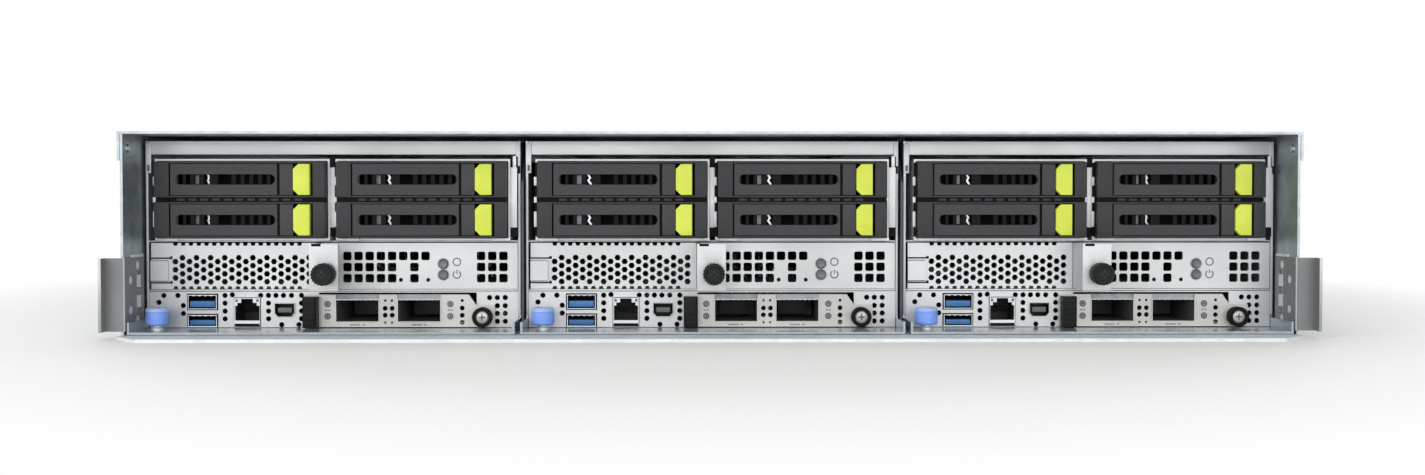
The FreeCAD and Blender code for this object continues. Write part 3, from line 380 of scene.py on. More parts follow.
# Plain black for the ring screw's ring; the blocks and linings in it at gaps, reliefs and socket
# mouths are painted shade.
BLACK_AND_PAINTED_SHADE = Finish("seam_black", "0E0E10", "141416", (0.6, 0.72), specular=0.15)
CARRIER_GREY = Finish("carrier_grey", "343436", "3A3A3C", (0.44, 0.56), pattern_scale=40.0,
                      specular=0.25)
LEVER_GREY = replace(CARRIER_GREY, name="lever_grey", shade="3B3B3D", second="424244",
                     roughness=(0.42, 0.54))
LIME = Finish("lime_plastic", "DDE957", "D3E04A", (0.34, 0.44), pattern_scale=90.0, specular=0.35)
BLUE_PLASTIC = Finish("blue_plastic", "88AFFF", "7CA3F9", (0.30, 0.4), pattern_scale=120.0)
PALE_BLUE = replace(BLUE_PLASTIC, name="pale_blue_plastic", shade="B5C9F7", second="A6BDF3",
                    roughness=(0.28, 0.38))
SOCKET_BLUE = replace(BLUE_PLASTIC, name="socket_blue", shade="3877B2", second="2F6BA3",
                      roughness=(0.34, 0.44))
BUTTON_PLASTIC = Finish("button_plastic", "727477", "686A6D", (0.30, 0.4), pattern_scale=200.0)
# Grey for print, lamp windows and a socket's tongue; the fold relief and the ring screw's cross in
# it are painted shade.
PRINT_AND_SHADE_GREY = Finish("printed_grey", "6E7173", "636668", (0.5, 0.6), specular=0.3)
NODE_FINISHES = {"chassis_floor": LIT_FLOOR_ZINC, "chassis_walls": ZINC, "chassis_cover": ZINC,
                 "chassis_dividers": SHADED_DIVIDER_ZINC, "rack_ears": EAR_STEEL, "sled_tray": TRAY_ZINC,
                 "fan_rotor": FAN_PLASTIC}


@cache
def perforation_tree() -> bpy.types.NodeTree:
    """Fills outlines into a sheet with a hole at each marked point.

    Returns:
        The geometry tree.
    """
    tree = bpy.data.node_groups.new("perforated_sheet", "GeometryNodeTree")
    wiring = Wiring(tree)
    into, out = wiring.sockets({"Geometry": "NodeSocketGeometry", "Thickness": "NodeSocketFloat",
                                "Hole Sides": "NodeSocketInt", "Hole Turn": "NodeSocketFloat",
                                "Hole Corner": "NodeSocketFloat", "Finish": "NodeSocketMaterial"},
                               {"Geometry": "NodeSocketGeometry"})
    radius = wiring.add("GeometryNodeInputNamedAttribute", {"Name": "hole"}, data_type="FLOAT")
    is_hole = wiring.add("FunctionNodeCompare", {0: radius.outputs[0], 1: 0.0}, data_type="FLOAT",
                         operation="GREATER_THAN")
    parted = wiring.add("GeometryNodeSeparateGeometry", {"Geometry": into.outputs["Geometry"],
                                                         "Selection": is_hole.outputs[0]})
    edges = wiring.add("GeometryNodeMeshToCurve", {0: parted.outputs["Inverted"]})
    ring = wiring.add("GeometryNodeCurvePrimitiveCircle", {"Resolution": into.outputs["Hole Sides"],
                                                           "Radius": 1.0})
    corner = into.outputs["Hole Corner"]
    rounded = wiring.add("GeometryNodeFilletCurve", {"Curve": ring.outputs[0], "Count": 3,
                                                     "Radius": corner}, mode="POLY")
    has_corner = wiring.add("FunctionNodeCompare", {0: corner, 1: 0.0}, data_type="FLOAT",
                            operation="GREATER_THAN")
    edge = wiring.add("GeometryNodeSwitch", {
        "Switch": has_corner.outputs[0], "False": ring.outputs[0], "True": rounded.outputs[0]},
        input_type="GEOMETRY")
    turn = wiring.add("ShaderNodeCombineXYZ", {"Z": into.outputs["Hole Turn"]})
    rings = wiring.add("GeometryNodeInstanceOnPoints", {
        "Points": parted.outputs["Selection"], "Instance": edge.outputs[0],
        "Rotation": turn.outputs[0], "Scale": radius.outputs[0]})
    holes = wiring.add("GeometryNodeRealizeInstances", {0: rings.outputs[0]})
    lines = wiring.add("GeometryNodeJoinGeometry", {0: edges.outputs[0]})
    tree.links.new(holes.outputs[0], lines.inputs[0])
    back = wiring.add("GeometryNodeFillCurve", {0: lines.outputs[0]})
    front = wiring.add("GeometryNodeExtrudeMesh", {"Mesh": back.outputs[0], "Individual": False,
                                                   "Offset Scale": into.outputs["Thickness"]})
    turned = wiring.add("GeometryNodeFlipFaces", {0: back.outputs[0]})
    both = wiring.add("GeometryNodeJoinGeometry", {0: front.outputs[0]})
    tree.links.new(turned.outputs[0], both.inputs[0])
    closed = wiring.add("GeometryNodeMergeByDistance", {"Geometry": both.outputs[0],
                                                        "Distance": SAME_POINT})
    real = wiring.add("GeometryNodeRealizeInstances", {0: closed.outputs[0]})
    painted = wiring.add("GeometryNodeSetMaterial", {"Geometry": real.outputs[0],
                                                     "Material": into.outputs["Finish"]})
    tree.links.new(painted.outputs[0], out.inputs["Geometry"])
    return tree


@cache
def repeat_tree() -> bpy.types.NodeTree:
    """Sets one small part on every point.

    Returns:
        The geometry tree.
    """
    tree = bpy.data.node_groups.new("part_on_points", "GeometryNodeTree")
    wiring = Wiring(tree)
    into, out = wiring.sockets({"Geometry": "NodeSocketGeometry", "Part": "NodeSocketObject",
                                "Finish": "NodeSocketMaterial"}, {"Geometry": "NodeSocketGeometry"})
    part = wiring.add("GeometryNodeObjectInfo", {"Object": into.outputs["Part"]})
    copies = wiring.add("GeometryNodeInstanceOnPoints", {"Points": into.outputs["Geometry"],
                                                         "Instance": part.outputs["Geometry"]})
    real = wiring.add("GeometryNodeRealizeInstances", {0: copies.outputs[0]})
    painted = wiring.add("GeometryNodeSetMaterial", {"Geometry": real.outputs[0],
                                                     "Material": into.outputs["Finish"]})
    tree.links.new(painted.outputs[0], out.inputs["Geometry"])
    return tree


def evaluated(base: bpy.types.Mesh, tree: bpy.types.NodeTree,
              values: dict[str, Any]) -> bpy.types.Mesh:
    """Runs a geometry tree on a mesh.

    Args:
        base: The mesh that the tree starts from.
        tree: The geometry tree.
        values: A value for each of the tree's inputs, by name.

    Returns:
        The result as a plain mesh.
    """
    holder = bpy.data.objects.new(tree.name, base)
    bpy.context.scene.collection.objects.link(holder)
    modifier = holder.modifiers.new(tree.name, "NODES")
    modifier.node_group = tree
    for item in tree.interface.items_tree:
        if item.item_type == "SOCKET" and item.in_out == "INPUT" and item.name in values:
            modifier[item.identifier] = values[item.name]
    bpy.context.view_layer.update()
    graph = bpy.context.evaluated_depsgraph_get()
    made = bpy.data.meshes.new_from_object(holder.evaluated_get(graph))
    holder.modifiers.remove(modifier)
    bpy.data.objects.remove(holder)
    return made


@dataclass
class Solid:
    """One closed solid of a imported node, as points in metres and faces."""

    points: list[Vector]
    faces: list[list[int]]

    @property
    def middle(self) -> Vector:
        """The middle of the solid's box, in millimetres."""
        return (self._corner(min) + self._corner(max)) / (2 * MM)

    @property
    def size(self) -> Vector:
        """The size of the solid's box, in millimetres."""
        return (self._corner(max) - self._corner(min)) / MM

    def shifted(self, shift: Spot) -> Solid:
        """A copy of the solid, moved by so many millimetres."""
        return Solid([point + Vector(shift) * MM for point in self.points], self.faces)

    def _corner(self, pick: Any) -> Vector:
        """One end of the solid's box, in metres: min picks the lowest corner, max the highest."""
        return Vector([pick(point[axis] for point in self.points) for axis in range(3)])


def solids_of(node: bpy.types.Object) -> list[Solid]:
    """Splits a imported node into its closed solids.

    Args:
        node: The node's object, which is left as it is.

    Returns:
        A copy of each solid, with its flat faces whole again.
    """
    source = bmesh.new()
    source.from_mesh(node.data)
    bmesh.ops.remove_doubles(source, verts=source.verts[:], dist=SAME_POINT)
    bmesh.ops.dissolve_limit(source, angle_limit=FLAT_BELOW, verts=source.verts[:],
                             edges=source.edges[:])
    source.verts.index_update()
    found: list[Solid] = []
    seen: set[int] = set()
    for start in source.verts:
        if start.index in seen:
            continue
        seen.add(start.index)
        island = [start]
        for vert in island:
            for edge in vert.link_edges:
                other = edge.other_vert(vert)
                if other.index not in seen:
                    seen.add(other.index)
                    island.append(other)
        number = {vert.index: place for place, vert in enumerate(island)}
        faces = dict.fromkeys(face for vert in island for face in vert.link_faces)
        found.append(Solid([vert.co.copy() for vert in island],
                           [[number[vert.index] for vert in face.verts] for face in faces]))
    source.free()
    return found


@dataclass
class PerforatedSheet:
    """A flat sheet across the front, with holes of one kind and cut-outs of any shape."""

    outline: list[Point]
    front: float
    thick: float
    holes: list[tuple[float, float, float]] = field(default_factory=list)
    cutouts: list[list[Point]] = field(default_factory=list)
    sides: int = 12
    turn: float = 0.0
    corner: float = 0.0

    def mesh(self, finish: Finish) -> bpy.types.Mesh:
        """Fills the sheet.

        Args:
            finish: The finish of the sheet.

        Returns:
            The closed sheet in its place, in metres.
        """
        points: list[Spot] = []
        edges: list[tuple[int, int]] = []
        for loop in [self.outline, *self.cutouts]:
            first = len(points)
            points += [(across * MM, up * MM, 0.0) for across, up in loop]
            edges += [(first + step, first + (step + 1) % len(loop)) for step in range(len(loop))]
        sizes = [0.0] * len(points) + [radius * MM for _, _, radius in self.holes]
        points += [(across * MM, up * MM, 0.0) for across, up, _ in self.holes]
        base = bpy.data.meshes.new("sheet_lines")
        base.from_pydata(points, edges, [])
        base.attributes.new("hole", "FLOAT", "POINT").data.foreach_set("value", sizes)
        made = evaluated(base, perforation_tree(), {
            "Thickness": self.thick * MM, "Hole Sides": self.sides, "Hole Turn": self.turn,
            "Hole Corner": self.corner, "Finish": finish.material()})
        made.transform(Matrix.Rotation(math.pi / 2, 4, "X"))
        made.transform(Matrix.Translation((0.0, (self.front + self.thick) * MM, 0.0)))
        return made


def rectangle(low: Point, high: Point) -> list[Point]:
    """Returns the corners of an upright rectangle."""
    return [low, (high[0], low[1]), high, (low[0], high[1])]


def circle(centre: Point, radius: float, sides: int = 20) -> list[Point]:
    """Returns points round a circle."""
    steps = [2 * math.pi * step / sides for step in range(sides)]
    return [(centre[0] + radius * math.cos(a), centre[1] + radius * math.sin(a)) for a in steps]


def capsule(low: Point, high: Point, sides: int = 8) -> list[Point]:
    """Draws a rectangle whose left and right ends are half circles.

    Args:
        low: The lower left corner of its box.
        high: The upper right corner.
        sides: Number of steps round each end.

    Returns:
        The points of the outline.
    """
    radius = (high[1] - low[1]) / 2
    up = (high[1] + low[1]) / 2
    bend = [math.pi * step / sides - math.pi / 2 for step in range(sides + 1)]
    ends = [(radius * math.cos(angle), radius * math.sin(angle)) for angle in bend]
    return ([(high[0] - radius + out, up + rise) for out, rise in ends]
            + [(low[0] + radius - out, up - rise) for out, rise in ends])


class Shape:
    """A mesh in the making, with a finish for each of its parts."""

    def __init__(self) -> None:
        """Starts with an empty mesh."""
        self.work = bmesh.new()
        self.finishes: list[Finish] = []

    def paint(self, faces: Iterable[bmesh.types.BMFace], finish: Finish) -> None:
        """Gives faces their finish.

        Args:
            faces: The faces.
            finish: Their finish.
        """
        if finish not in self.finishes:
            self.finishes.append(finish)
        for face in faces:
            face.material_index = self.finishes.index(finish)

    def _round(self, edges: Iterable[bmesh.types.BMEdge], width: float, finish: Finish) -> None:
        """Rounds edges a little, so that they catch the light. Their order shapes the corners.

        Args:
            edges: The edges.
            width: How far the rounding reaches, in millimetres.
            finish: The finish of the new faces.
        """
        done = bmesh.ops.bevel(self.work, geom=list(edges), offset=width * MM, segments=2,
                               profile=0.6, affect="EDGES", clamp_overlap=True)
        self.paint(done["faces"], finish)

    def block(self, low: Spot, high: Spot, finish: Finish, bevel: float = 0.15) -> None:
        """Adds a block with softened edges.

        Args:
            low: Lowest corner, in millimetres.
            high: Highest corner.
            finish: The block's finish.
            bevel: Width of the softened edge.
        """
        size = Vector(high) - Vector(low)
        middle = (Vector(high) + Vector(low)) / 2
        place = Matrix.LocRotScale(middle * MM, None, size * MM)
        made = bmesh.ops.create_cube(self.work, matrix=place)
        self.paint({face for vert in made["verts"] for face in vert.link_faces}, finish)
        if bevel:
            edges = dict.fromkeys(edge for vert in made["verts"] for edge in vert.link_edges)
            self._round(edges, bevel, finish)

    def prism(self, outline: Sequence[Point], start: float, end: float, finish: Finish,
              axis: Axis = Axis.Y, bevel: float = 0.0) -> None:
        """Draws an outline out into a solid.

        Args:
            outline: The corners of the profile.
            start: Where it starts along the axis.
            end: Where it ends.
            finish: The solid's finish.
            axis: The axis it is drawn along.
            bevel: Width of the softened edge round the start.
        """
        rings = [[self.work.verts.new(axis.spot(a, b, along)) for a, b in outline]
                 for along in (start, end)]
        caps = [self.work.faces.new(ring) for ring in rings]
        sides = [self.work.faces.new((rings[0][step - 1], rings[0][step], rings[1][step],
                                      rings[1][step - 1])) for step in range(len(outline))]
        bmesh.ops.recalc_face_normals(self.work, faces=caps + sides)
        self.paint(caps + sides, finish)
        if bevel:
            self._round(caps[0].edges, bevel, finish)

    def tube(self, outer: Sequence[Point], inner: Sequence[Point], start: float, end: float,
             finish: Finish, lining: Finish, back: float = 0.5) -> None:
        """Adds a sleeve that is open at the front and shut at the rear.

        Args:
            outer: The sleeve's outline.
            inner: The mouth's outline, with as many corners.
            start: The front.
            end: The rear.
            finish: The finish outside.
            lining: The finish inside, which in the network card's cages and the bus sockets is
                painted shade.
            back: Thickness of the rear wall.
        """
        count = len(outer)
        spots = [(outer, start), (outer, end), (inner, start), (inner, end - back)]
        rings = [[self.work.verts.new(Axis.Y.spot(a, b, along)) for a, b in line]
                 for line, along in spots]

        def band(one: int, two: int) -> list[bmesh.types.BMFace]:
            """The faces between two of the rings."""
            return [self.work.faces.new((rings[one][step - 1], rings[one][step], rings[two][step],
                                         rings[two][step - 1])) for step in range(count)]

        shell = band(0, 1) + band(0, 2) + [self.work.faces.new(rings[1])]
        inside = band(2, 3) + [self.work.faces.new(rings[3])]
        bmesh.ops.recalc_face_normals(self.work, faces=shell + inside)
        self.paint(shell, finish)
        self.paint(inside, lining)

    def turned(self, profile: Sequence[Point], centre: Point, finish: Finish, axis: Axis = Axis.Y,
               sides: int = 28, knurl: float = 0.0, ring: bool = False) -> None:
        """Turns a profile about an axis.

        Args:
            profile: Radius and place along the axis of each corner.
            centre: Where the axis lies.
            finish: The finish of the piece.
            axis: The axis it is turned about.
            sides: Number of sides.
            knurl: Depth of the teeth on the widest part.
            ring: Whether the profile closes on itself, as a ring's does.
        """
        widest = max(radius for radius, _ in profile)
        rows: list[list[bmesh.types.BMVert]] = []
        for radius, along in profile:
            cut = knurl if radius > widest - SAME_POINT else 0.0
            turns = [2 * math.pi * step / sides for step in range(sides if radius else 1)]
            reach = [radius - cut * (step % 2) for step in range(len(turns))]
            rows.append([self.work.verts.new(axis.spot(centre[0] + out * math.cos(angle),
                                                       centre[1] + out * math.sin(angle), along))
                         for out, angle in zip(reach, turns)])
        faces = []
        for one, two in zip(rows, rows[1:] + ([rows[0]] if ring else [])):
            for step in range(sides):
                corners = [one[step % len(one)], one[step - 1] if len(one) > 1 else one[0],
                           two[step - 1] if len(two) > 1 else two[0], two[step % len(two)]]
                faces.append(self.work.faces.new(list(dict.fromkeys(corners))))
        if not ring:
            faces += [self.work.faces.new(row) for row in (rows[0], rows[-1]) if len(row) > 1]
        bmesh.ops.recalc_face_normals(self.work, faces=faces)
        self.paint(faces, finish)

    def merge(self, mesh: bpy.types.Mesh, finish: Finish) -> list[bmesh.types.BMFace]:
        """Adds a mesh that lies in its place.

        Args:
            mesh: The mesh, in metres.
            finish: Its finish.

        Returns:
            The faces that it added.
        """
        known = set(self.work.faces)
        self.work.from_mesh(mesh)
        added = [face for face in self.work.faces if face not in known]
        self.paint(added, finish)
        bpy.data.meshes.remove(mesh)
        return added

    def solid(self, solid: Solid, finish: Finish, bevel: float = 0.15) -> list[bmesh.types.BMFace]:
        """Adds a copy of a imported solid, with softened edges.

        Args:
            solid: The solid.
            finish: Its finish.
            bevel: Width of the softened edge.

        Returns:
            The faces that the solid had.
        """
        mesh = bpy.data.meshes.new("solid_copy")
        mesh.from_pydata(solid.points, [], solid.faces)
        faces = self.merge(mesh, finish)
        sharp = dict.fromkeys(edge for face in faces for edge in face.edges
                              if edge.calc_face_angle(0.0) > SMOOTH_BELOW)
        if bevel:
            self._round(sharp, bevel, finish)
        return [face for face in faces if face.is_valid]

    def sheet(self, sheet: PerforatedSheet, finish: Finish) -> None:
        """Adds a perforated sheet."""
        self.merge(sheet.mesh(finish), finish)

    def repeat(self, part: Shape, spots: Sequence[Spot], finish: Finish) -> None:
        """Sets a small part on each of several points.

        Args:
            part: The part, drawn about the origin.
            spots: The points, in millimetres.
            finish: The finish of all of them.
        """
        mesh = bpy.data.meshes.new("repeated_part")
        part.work.to_mesh(mesh)
        source = bpy.data.objects.new("repeated_part", mesh)
        bpy.context.scene.collection.objects.link(source)
        base = bpy.data.meshes.new("repeat_points")
        base.from_pydata([Vector(spot) * MM for spot in spots], [], [])
        made = evaluated(base, repeat_tree(), {"Part": source, "Finish": finish.material()})
        bpy.data.objects.remove(source)
        self.merge(made, finish)

    def piece(self, name: str, body: str, slot: str, shift: Spot = (0.0, 0.0, 0.0),
              stands_for: Sequence[str] = ()) -> bpy.types.Object:
        """Makes the mesh an object that rides on a body.

        Args:
            name: The object's name.
            body: The body that carries it.
            slot: Not used.
            shift: How far it is moved from where it was drawn, in millimetres.
            stands_for: Nodes that it stands for.

        Returns:
            The object.
        """
        mesh = bpy.data.meshes.new(name)
        self.work.to_mesh(mesh)
        mesh.transform(Matrix.Translation(Vector(shift) * MM))
        for finish in self.finishes:
            mesh.materials.append(finish.material())
        mesh.shade_smooth()
        mesh.set_sharp_from_angle(angle=SMOOTH_BELOW)
        made = bpy.data.objects.new(name, mesh)
        bpy.context.scene.collection.objects.link(made)
        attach(made, body)
        if stands_for:
            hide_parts(*stands_for)
        LOG.info("%s rides on %s", name, body)
        return made


def small_block(low: Spot, high: Spot, finish: Finish, bevel: float) -> Shape:
    """Draws a block about the origin, to be repeated.

    Args:
        low: Lowest corner, in millimetres.
        high: Highest corner.
        finish: The block's finish.
        bevel: Width of the softened edge.

    Returns:
        The block.
    """
    made = Shape()
    made.block(low, high, finish, bevel)
    return made


def pan_head(axis: Axis, radius: float, high: float, outward: float) -> Shape:
    """Draws a low round screw or rivet head about the origin.

    Args:
        axis: The axis of the screw.
        radius: The head's radius.
        high: The head's height.
        outward: 1 if the head points along the axis, -1 if against it.

    Returns:
        The head.
    """
    head = Shape()
    rise = high * outward
    head.turned([(radius, 0.0), (radius, 0.4 * rise), (0.7 * radius, 0.9 * rise), (0.0, rise)],
                ORIGIN, BRIGHT_METAL, axis, sides=14)
    return head


def cross_recess(made: Shape, centre: Point, depths: Point, arms: Point, finish: Finish) -> None:
    """Paints the cross recess in the head of a screw as a flat cross standing slightly proud of the
    head: painted shade in place of the hollow.

    Args:
        made: The shape that carries the screw.
        centre: Middle of the head, seen from the front.
        depths: Front and back of the mark.
        arms: Half the length and half the width of an arm.
        finish: The mark's finish.
    """
    (across, up), (front, back), (reach, half) = centre, depths, arms
    for wide, high in ((reach, half), (half, reach)):
        made.block((across - wide, front, up - high), (across + wide, back, up + high), finish,
                   0.05)


@dataclass
class Chassis:
    """The shell: floor, walls, cover, dividers, ears and the rear power bar."""

    nodes: dict[str, bpy.types.Object]
    wall_inside: float = 264.8
    wall_gap: float = 0.05
    cover_side: float = 267.4
    cover_top: float = 93.0
    divider: float = 88.25
    rivet_radius: float = 2.0
    rivet_spot: Point = (-371.0, 85.5)
    screw_radius: float = 3.2
    side_screw_up: float = 85.8
    side_screws: tuple[float, ...] = (-350.0, -206.0, -62.0, 82.0, 226.0, 370.0)
    rear_screw_deep: float = 374.0
    rear_screws: tuple[float, ...] = (-240.0, -120.0, 0.0, 120.0, 240.0)
    weld_radius: float = 3.0
    weld_start: float = -330.0
    weld_pitch: float = 78.0
    weld_count: int = 9
    ear_leg: float = 263.8
    ear_low: float = 3.0
    ear_high: float = 36.0
    ear_rivet_radius: float = 1.9
    ear_rivets: tuple[Point, ...] = ((-361.5, 32.2), (-361.5, 7.3), (-370.8, 25.8), (-370.8, 12.2))
    ear_window: tuple[Point, Point] = ((-372.25, 9.55), (-367.35, 29.45))
    ear_strip: tuple[Point, Point] = ((-368.0, 35.9), (-353.1, 37.2))
    clip_rows: tuple[Point, Point] = ((12.8, 18.4), (22.1, 27.7))
    clip_deep: Spot = (-362.6, -358.8, -357.8)
    bend_radius: float = 0.55
    bend_spot: Point = (264.25, -377.95)
    lip_across: Point = (272.2, 273.55)
    lip_deep: Point = (-384.4, -384.1)
    bus_half_slot: float = 4.5
    finger_low: float = 19.0
    finger_pitch: float = 8.6
    finger_count: int = 7
    blade_up: float = 15.7
    blades: tuple[float, ...] = (-14.0, -7.0, 7.0, 14.0)

    def dress(self) -> None:
        """Gives the plain nodes of the whole part their finishes."""
        for name, node in self.nodes.items():
            for start, finish in NODE_FINISHES.items():
                if name.startswith(start):
                    node.data.materials.clear()
                    node.data.materials.append(finish.material())

    def fasteners(self) -> None:
        """Adds the rivets of the walls and the screws and spot welds of the cover."""
        made = Shape()
        for side in (-1, 1):
            inward = pan_head(Axis.X, self.rivet_radius, 1.0, -side)
            made.repeat(inward, [(side * self.wall_inside, *self.rivet_spot)], BRIGHT_METAL)
            outward = pan_head(Axis.X, self.screw_radius, 1.2, side)
            made.repeat(outward, [(side * self.cover_side, deep, self.side_screw_up)
                                  for deep in self.side_screws], BRIGHT_METAL)
        weld = pan_head(Axis.Z, self.weld_radius, 0.25, 1)
        rows = [self.weld_start + self.weld_pitch * step for step in range(self.weld_count)]
        made.repeat(weld, [(side * self.divider, deep, self.cover_top)
                           for side in (-1, 1) for deep in rows], ZINC)
        made.repeat(pan_head(Axis.Z, self.screw_radius, 1.0, 1),
                    [(across, self.rear_screw_deep, self.cover_top) for across in self.rear_screws],
                    BRIGHT_METAL)
        made.piece("chassis_fasteners", "chassis", "zinc_sheet")

    def ears(self) -> None:
        """Adds the rack ears' flush rivets, bright clips, cut edges and a painted highlight on the
        rounded bend.
        """
        made = Shape()
        clip_front, clip_nose, clip_back = self.clip_deep
        for side in (-1, 1):
            leg, wall = side * self.ear_leg, side * (self.wall_inside - self.wall_gap)
            near, far = sorted((leg + side * self.wall_gap, wall))
            rivet = pan_head(Axis.X, self.ear_rivet_radius, 0.22, -side)
            made.repeat(rivet, [(leg, *spot) for spot in self.ear_rivets], SLED_STEEL)
            low, high = self.ear_window
            made.block((near, *low), (far, *high), EAR_STEEL, 0.1)
            nose = leg - side * 0.2
            clip = [(wall, clip_front), (wall, clip_back), (nose, clip_back), (nose, clip_nose)]
            for clip_low, clip_high in self.clip_rows:
                made.prism(clip, clip_low, clip_high, SLED_STEEL, Axis.Z)
            low, high = self.ear_strip
            made.block((near, *low), (far, *high), SLED_STEEL, 0.15)
            # A thin pale rod along each ear's bend: painted highlight of the rounded bend.
            made.turned([(self.bend_radius, self.ear_low), (self.bend_radius, self.ear_high + 0.3)],
                        (side * self.bend_spot[0], self.bend_spot[1]), EDGE_STEEL_AND_HIGHLIGHT, Axis.Z, sides=16)
            inner, outer = sorted(side * edge for edge in self.lip_across)
            made.block((inner, self.lip_deep[0], self.ear_low),
                       (outer, self.lip_deep[1], self.ear_high), EDGE_STEEL_AND_HIGHLIGHT, 0.1)
        made.piece("ear_fittings", "chassis", "ear_steel")

    def power_rear(self) -> None:
        """Dresses the power bar, the sleds' receptacles and the bus-bar clip."""
        made = Shape()
        for solid in solids_of(self.nodes["power_backplane"]):
            is_bar = solid.size.x > 200
            made.solid(solid, ZINC if is_bar else BLACK_PLASTIC, 0.6)
        heights = [self.finger_low + self.finger_pitch * step for step in range(self.finger_count)]
        for side in (-1, 1):
            finger = Shape()
            finger.prism([(0.0, 387.5), (-side * 0.9, 391.0), (-side * 0.9, 394.0), (0.0, 398.5),
                          (side * 0.2, 398.5), (side * 0.2, 387.5)], -3.2, 3.2, COPPER, Axis.Z)
            made.repeat(finger, [(side * self.bus_half_slot, 0.0, up) for up in heights], COPPER)
        blade = small_block((-1.0, 364.5, -5.0), (1.0, 371.0, 5.0), BRASS, 0.3)
        for sled in Sled:
            made.repeat(blade, [(sled.value + across, 0.0, self.blade_up)
                                for across in self.blades], BRASS)
        made.piece("power_rear", "chassis", "power_plastic", stands_for=["power_backplane"])


@dataclass
class SledFront:
    """The sheet-metal front of a sled: cages, slot filler, button panel and socket plate."""

    nodes: dict[str, bpy.types.Object]
    thick: float = 1.0
    left: float = -87.0
    row_low: float = 20.6
    row_high: float = 42.1
    filler_left: float = -84.9
    filler_right: float = -7.4
    notch_start: float = 13.4
    notch_pitch: float = 3.6
    notch_count: int = 17
    notch_deep: float = 1.3
    slit_rows: Point = (35.0, 23.5)
    slit_deep: float = 8.6
    hex_radius: float = 1.5
    hex_start: float = 13.3
    hex_pitch: float = 3.27
    hex_columns: int = 20
    hex_rows: tuple[tuple[float, ...], ...] = ((25.8, 29.6, 33.4), (24.0, 27.7, 31.5, 35.2))
    panel_left: float = -5.8
    panel_right: float = 85.6
    square: float = 4.0
    square_start: float = 93.2
    last_squares: float = 155.5
    square_pitch: float = 5.2
    square_rows: Spot = (25.6, 30.8, 36.0)
    lamp_holes: Point = (118.1, 130.8)
    lamp_up: float = 24.8
    button_radius: float = 2.4
    sign_across: float = 144.2
    sign_heights: Point = (33.2, 27.3)
    sign_radii: Point = (2.0, 1.45)
    tab_front: float = -369.0
    plate_left: float = -85.8
    plate_low: float = 2.7
    plate_high: float = 19.4
    card_window: Spot = (-7.0, 66.4, 18.9)
    hole_radius: float = 1.25
    cage_lefts: Point = (-82.4, 1.3)
    lug_rows: tuple[Point, ...] = ((49.5, 56.8), (60.8, 63.6), (68.8, 72.9))
    strips: tuple[Point, Point] = ((-1.3, 2.4), (82.4, 3.2))
    strip_low: float = 49.3
    strip_high: float = 77.3

    def build(self, sled: Sled) -> None:
        """Makes one sled's front.

        Args:
            sled: The sled.
        """
        made = Shape()
        name = f"sled_front_{sled.word}"
        for solid in solids_of(self.nodes[name]):
            solid = solid.shifted((-sled.value, 0.0, 0.0))
            is_flat_plate = solid.size.y < 3 and solid.size.z > 10
            if not is_flat_plate:
                is_cage = solid.middle.z > self.row_high
                made.solid(solid, SLED_STEEL if is_cage else FACE_STEEL, 0.25)
        self._slot_filler(made)
        self._button_panel(made)
        self._button_marks(made)
        self._socket_plate(made)
        self._cage_edges(made)
        self._side_folds(made)
        made.piece(f"sled_front_dressed_{sled.word}", f"sled_{sled.word}", "sled_steel",
                   (sled.value, 0, 0), [name])

    def _slot_filler(self, made: Shape) -> None:
        """Adds the honeycomb slot filler with its three tongues and half-cut edge holes.

        Args:
            made: The front.
        """
        low, high = self.row_low, self.row_high
        bottom: list[Point] = []
        for step in range(self.notch_count):
            middle = self.left + self.notch_start + self.notch_pitch * step
            bottom += [(middle - 1.2, low), (middle - 0.8, low + self.notch_deep),
                       (middle + 0.8, low + self.notch_deep), (middle + 1.2, low)]
        top = [(across, low + high - up) for across, up in reversed(bottom)]
        slit_end = self.filler_left + self.slit_deep
        slits: list[Point] = []
        for up in self.slit_rows:
            slits += [(self.filler_left, up + 0.35), (slit_end, up + 0.35),
                      (slit_end + 0.2, up + 0.9), (slit_end + 1.3, up + 0.9),
                      (slit_end + 1.3, up - 0.5), (slit_end, up - 0.35),
                      (self.filler_left, up - 0.35)]
        outline = [(self.filler_left, low), *bottom, (self.filler_right, low),
                   (self.filler_right, high), *top, (self.filler_left, high), *slits]
        holes = [(self.left + self.hex_start + self.hex_pitch * column, up, self.hex_radius)
                 for column in range(self.hex_columns) for up in self.hex_rows[column % 2]]
        made.sheet(PerforatedSheet(outline, SLED_FACE, self.thick, holes, sides=6), FACE_STEEL)
        raised = SLED_FACE - 1.2
        made.prism([(SLED_FACE, 24.0), (raised, 24.6), (raised, 33.6), (SLED_FACE, 34.2)],
                   self.filler_left, slit_end - 0.5, FACE_STEEL, Axis.X)

    def _button_panel(self, made: Shape) -> None:
        """Adds the panel with square holes and openings for the buttons and two lamps.

        Args:
            made: The front.
        """
        low, middle, high = self.square_rows
        columns = [self.left + self.square_start + self.square_pitch * step for step in range(8)]
        spots = [(across, high) for across in columns]
        spots += [(across, up) for across in columns[:5] + [columns[6]] for up in (low, middle)]
        spots += [(self.left + self.last_squares + self.square_pitch * step, up)
                  for step in range(3) for up in self.square_rows]
        reach = self.square / math.sqrt(2)
        cutouts = [circle((BUTTON_ACROSS, up), self.button_radius) for up in BUTTON_HEIGHTS]
        cutouts += [circle((self.left + across, self.lamp_up), 0.95, 12)
                    for across in self.lamp_holes]
        outline = rectangle((self.panel_left, self.row_low), (self.panel_right, self.row_high))
        made.sheet(PerforatedSheet(outline, SLED_FACE, self.thick,
                                   [(across, up, reach) for across, up in spots], cutouts,
                                   sides=4, turn=math.pi / 4, corner=0.3), FACE_STEEL)

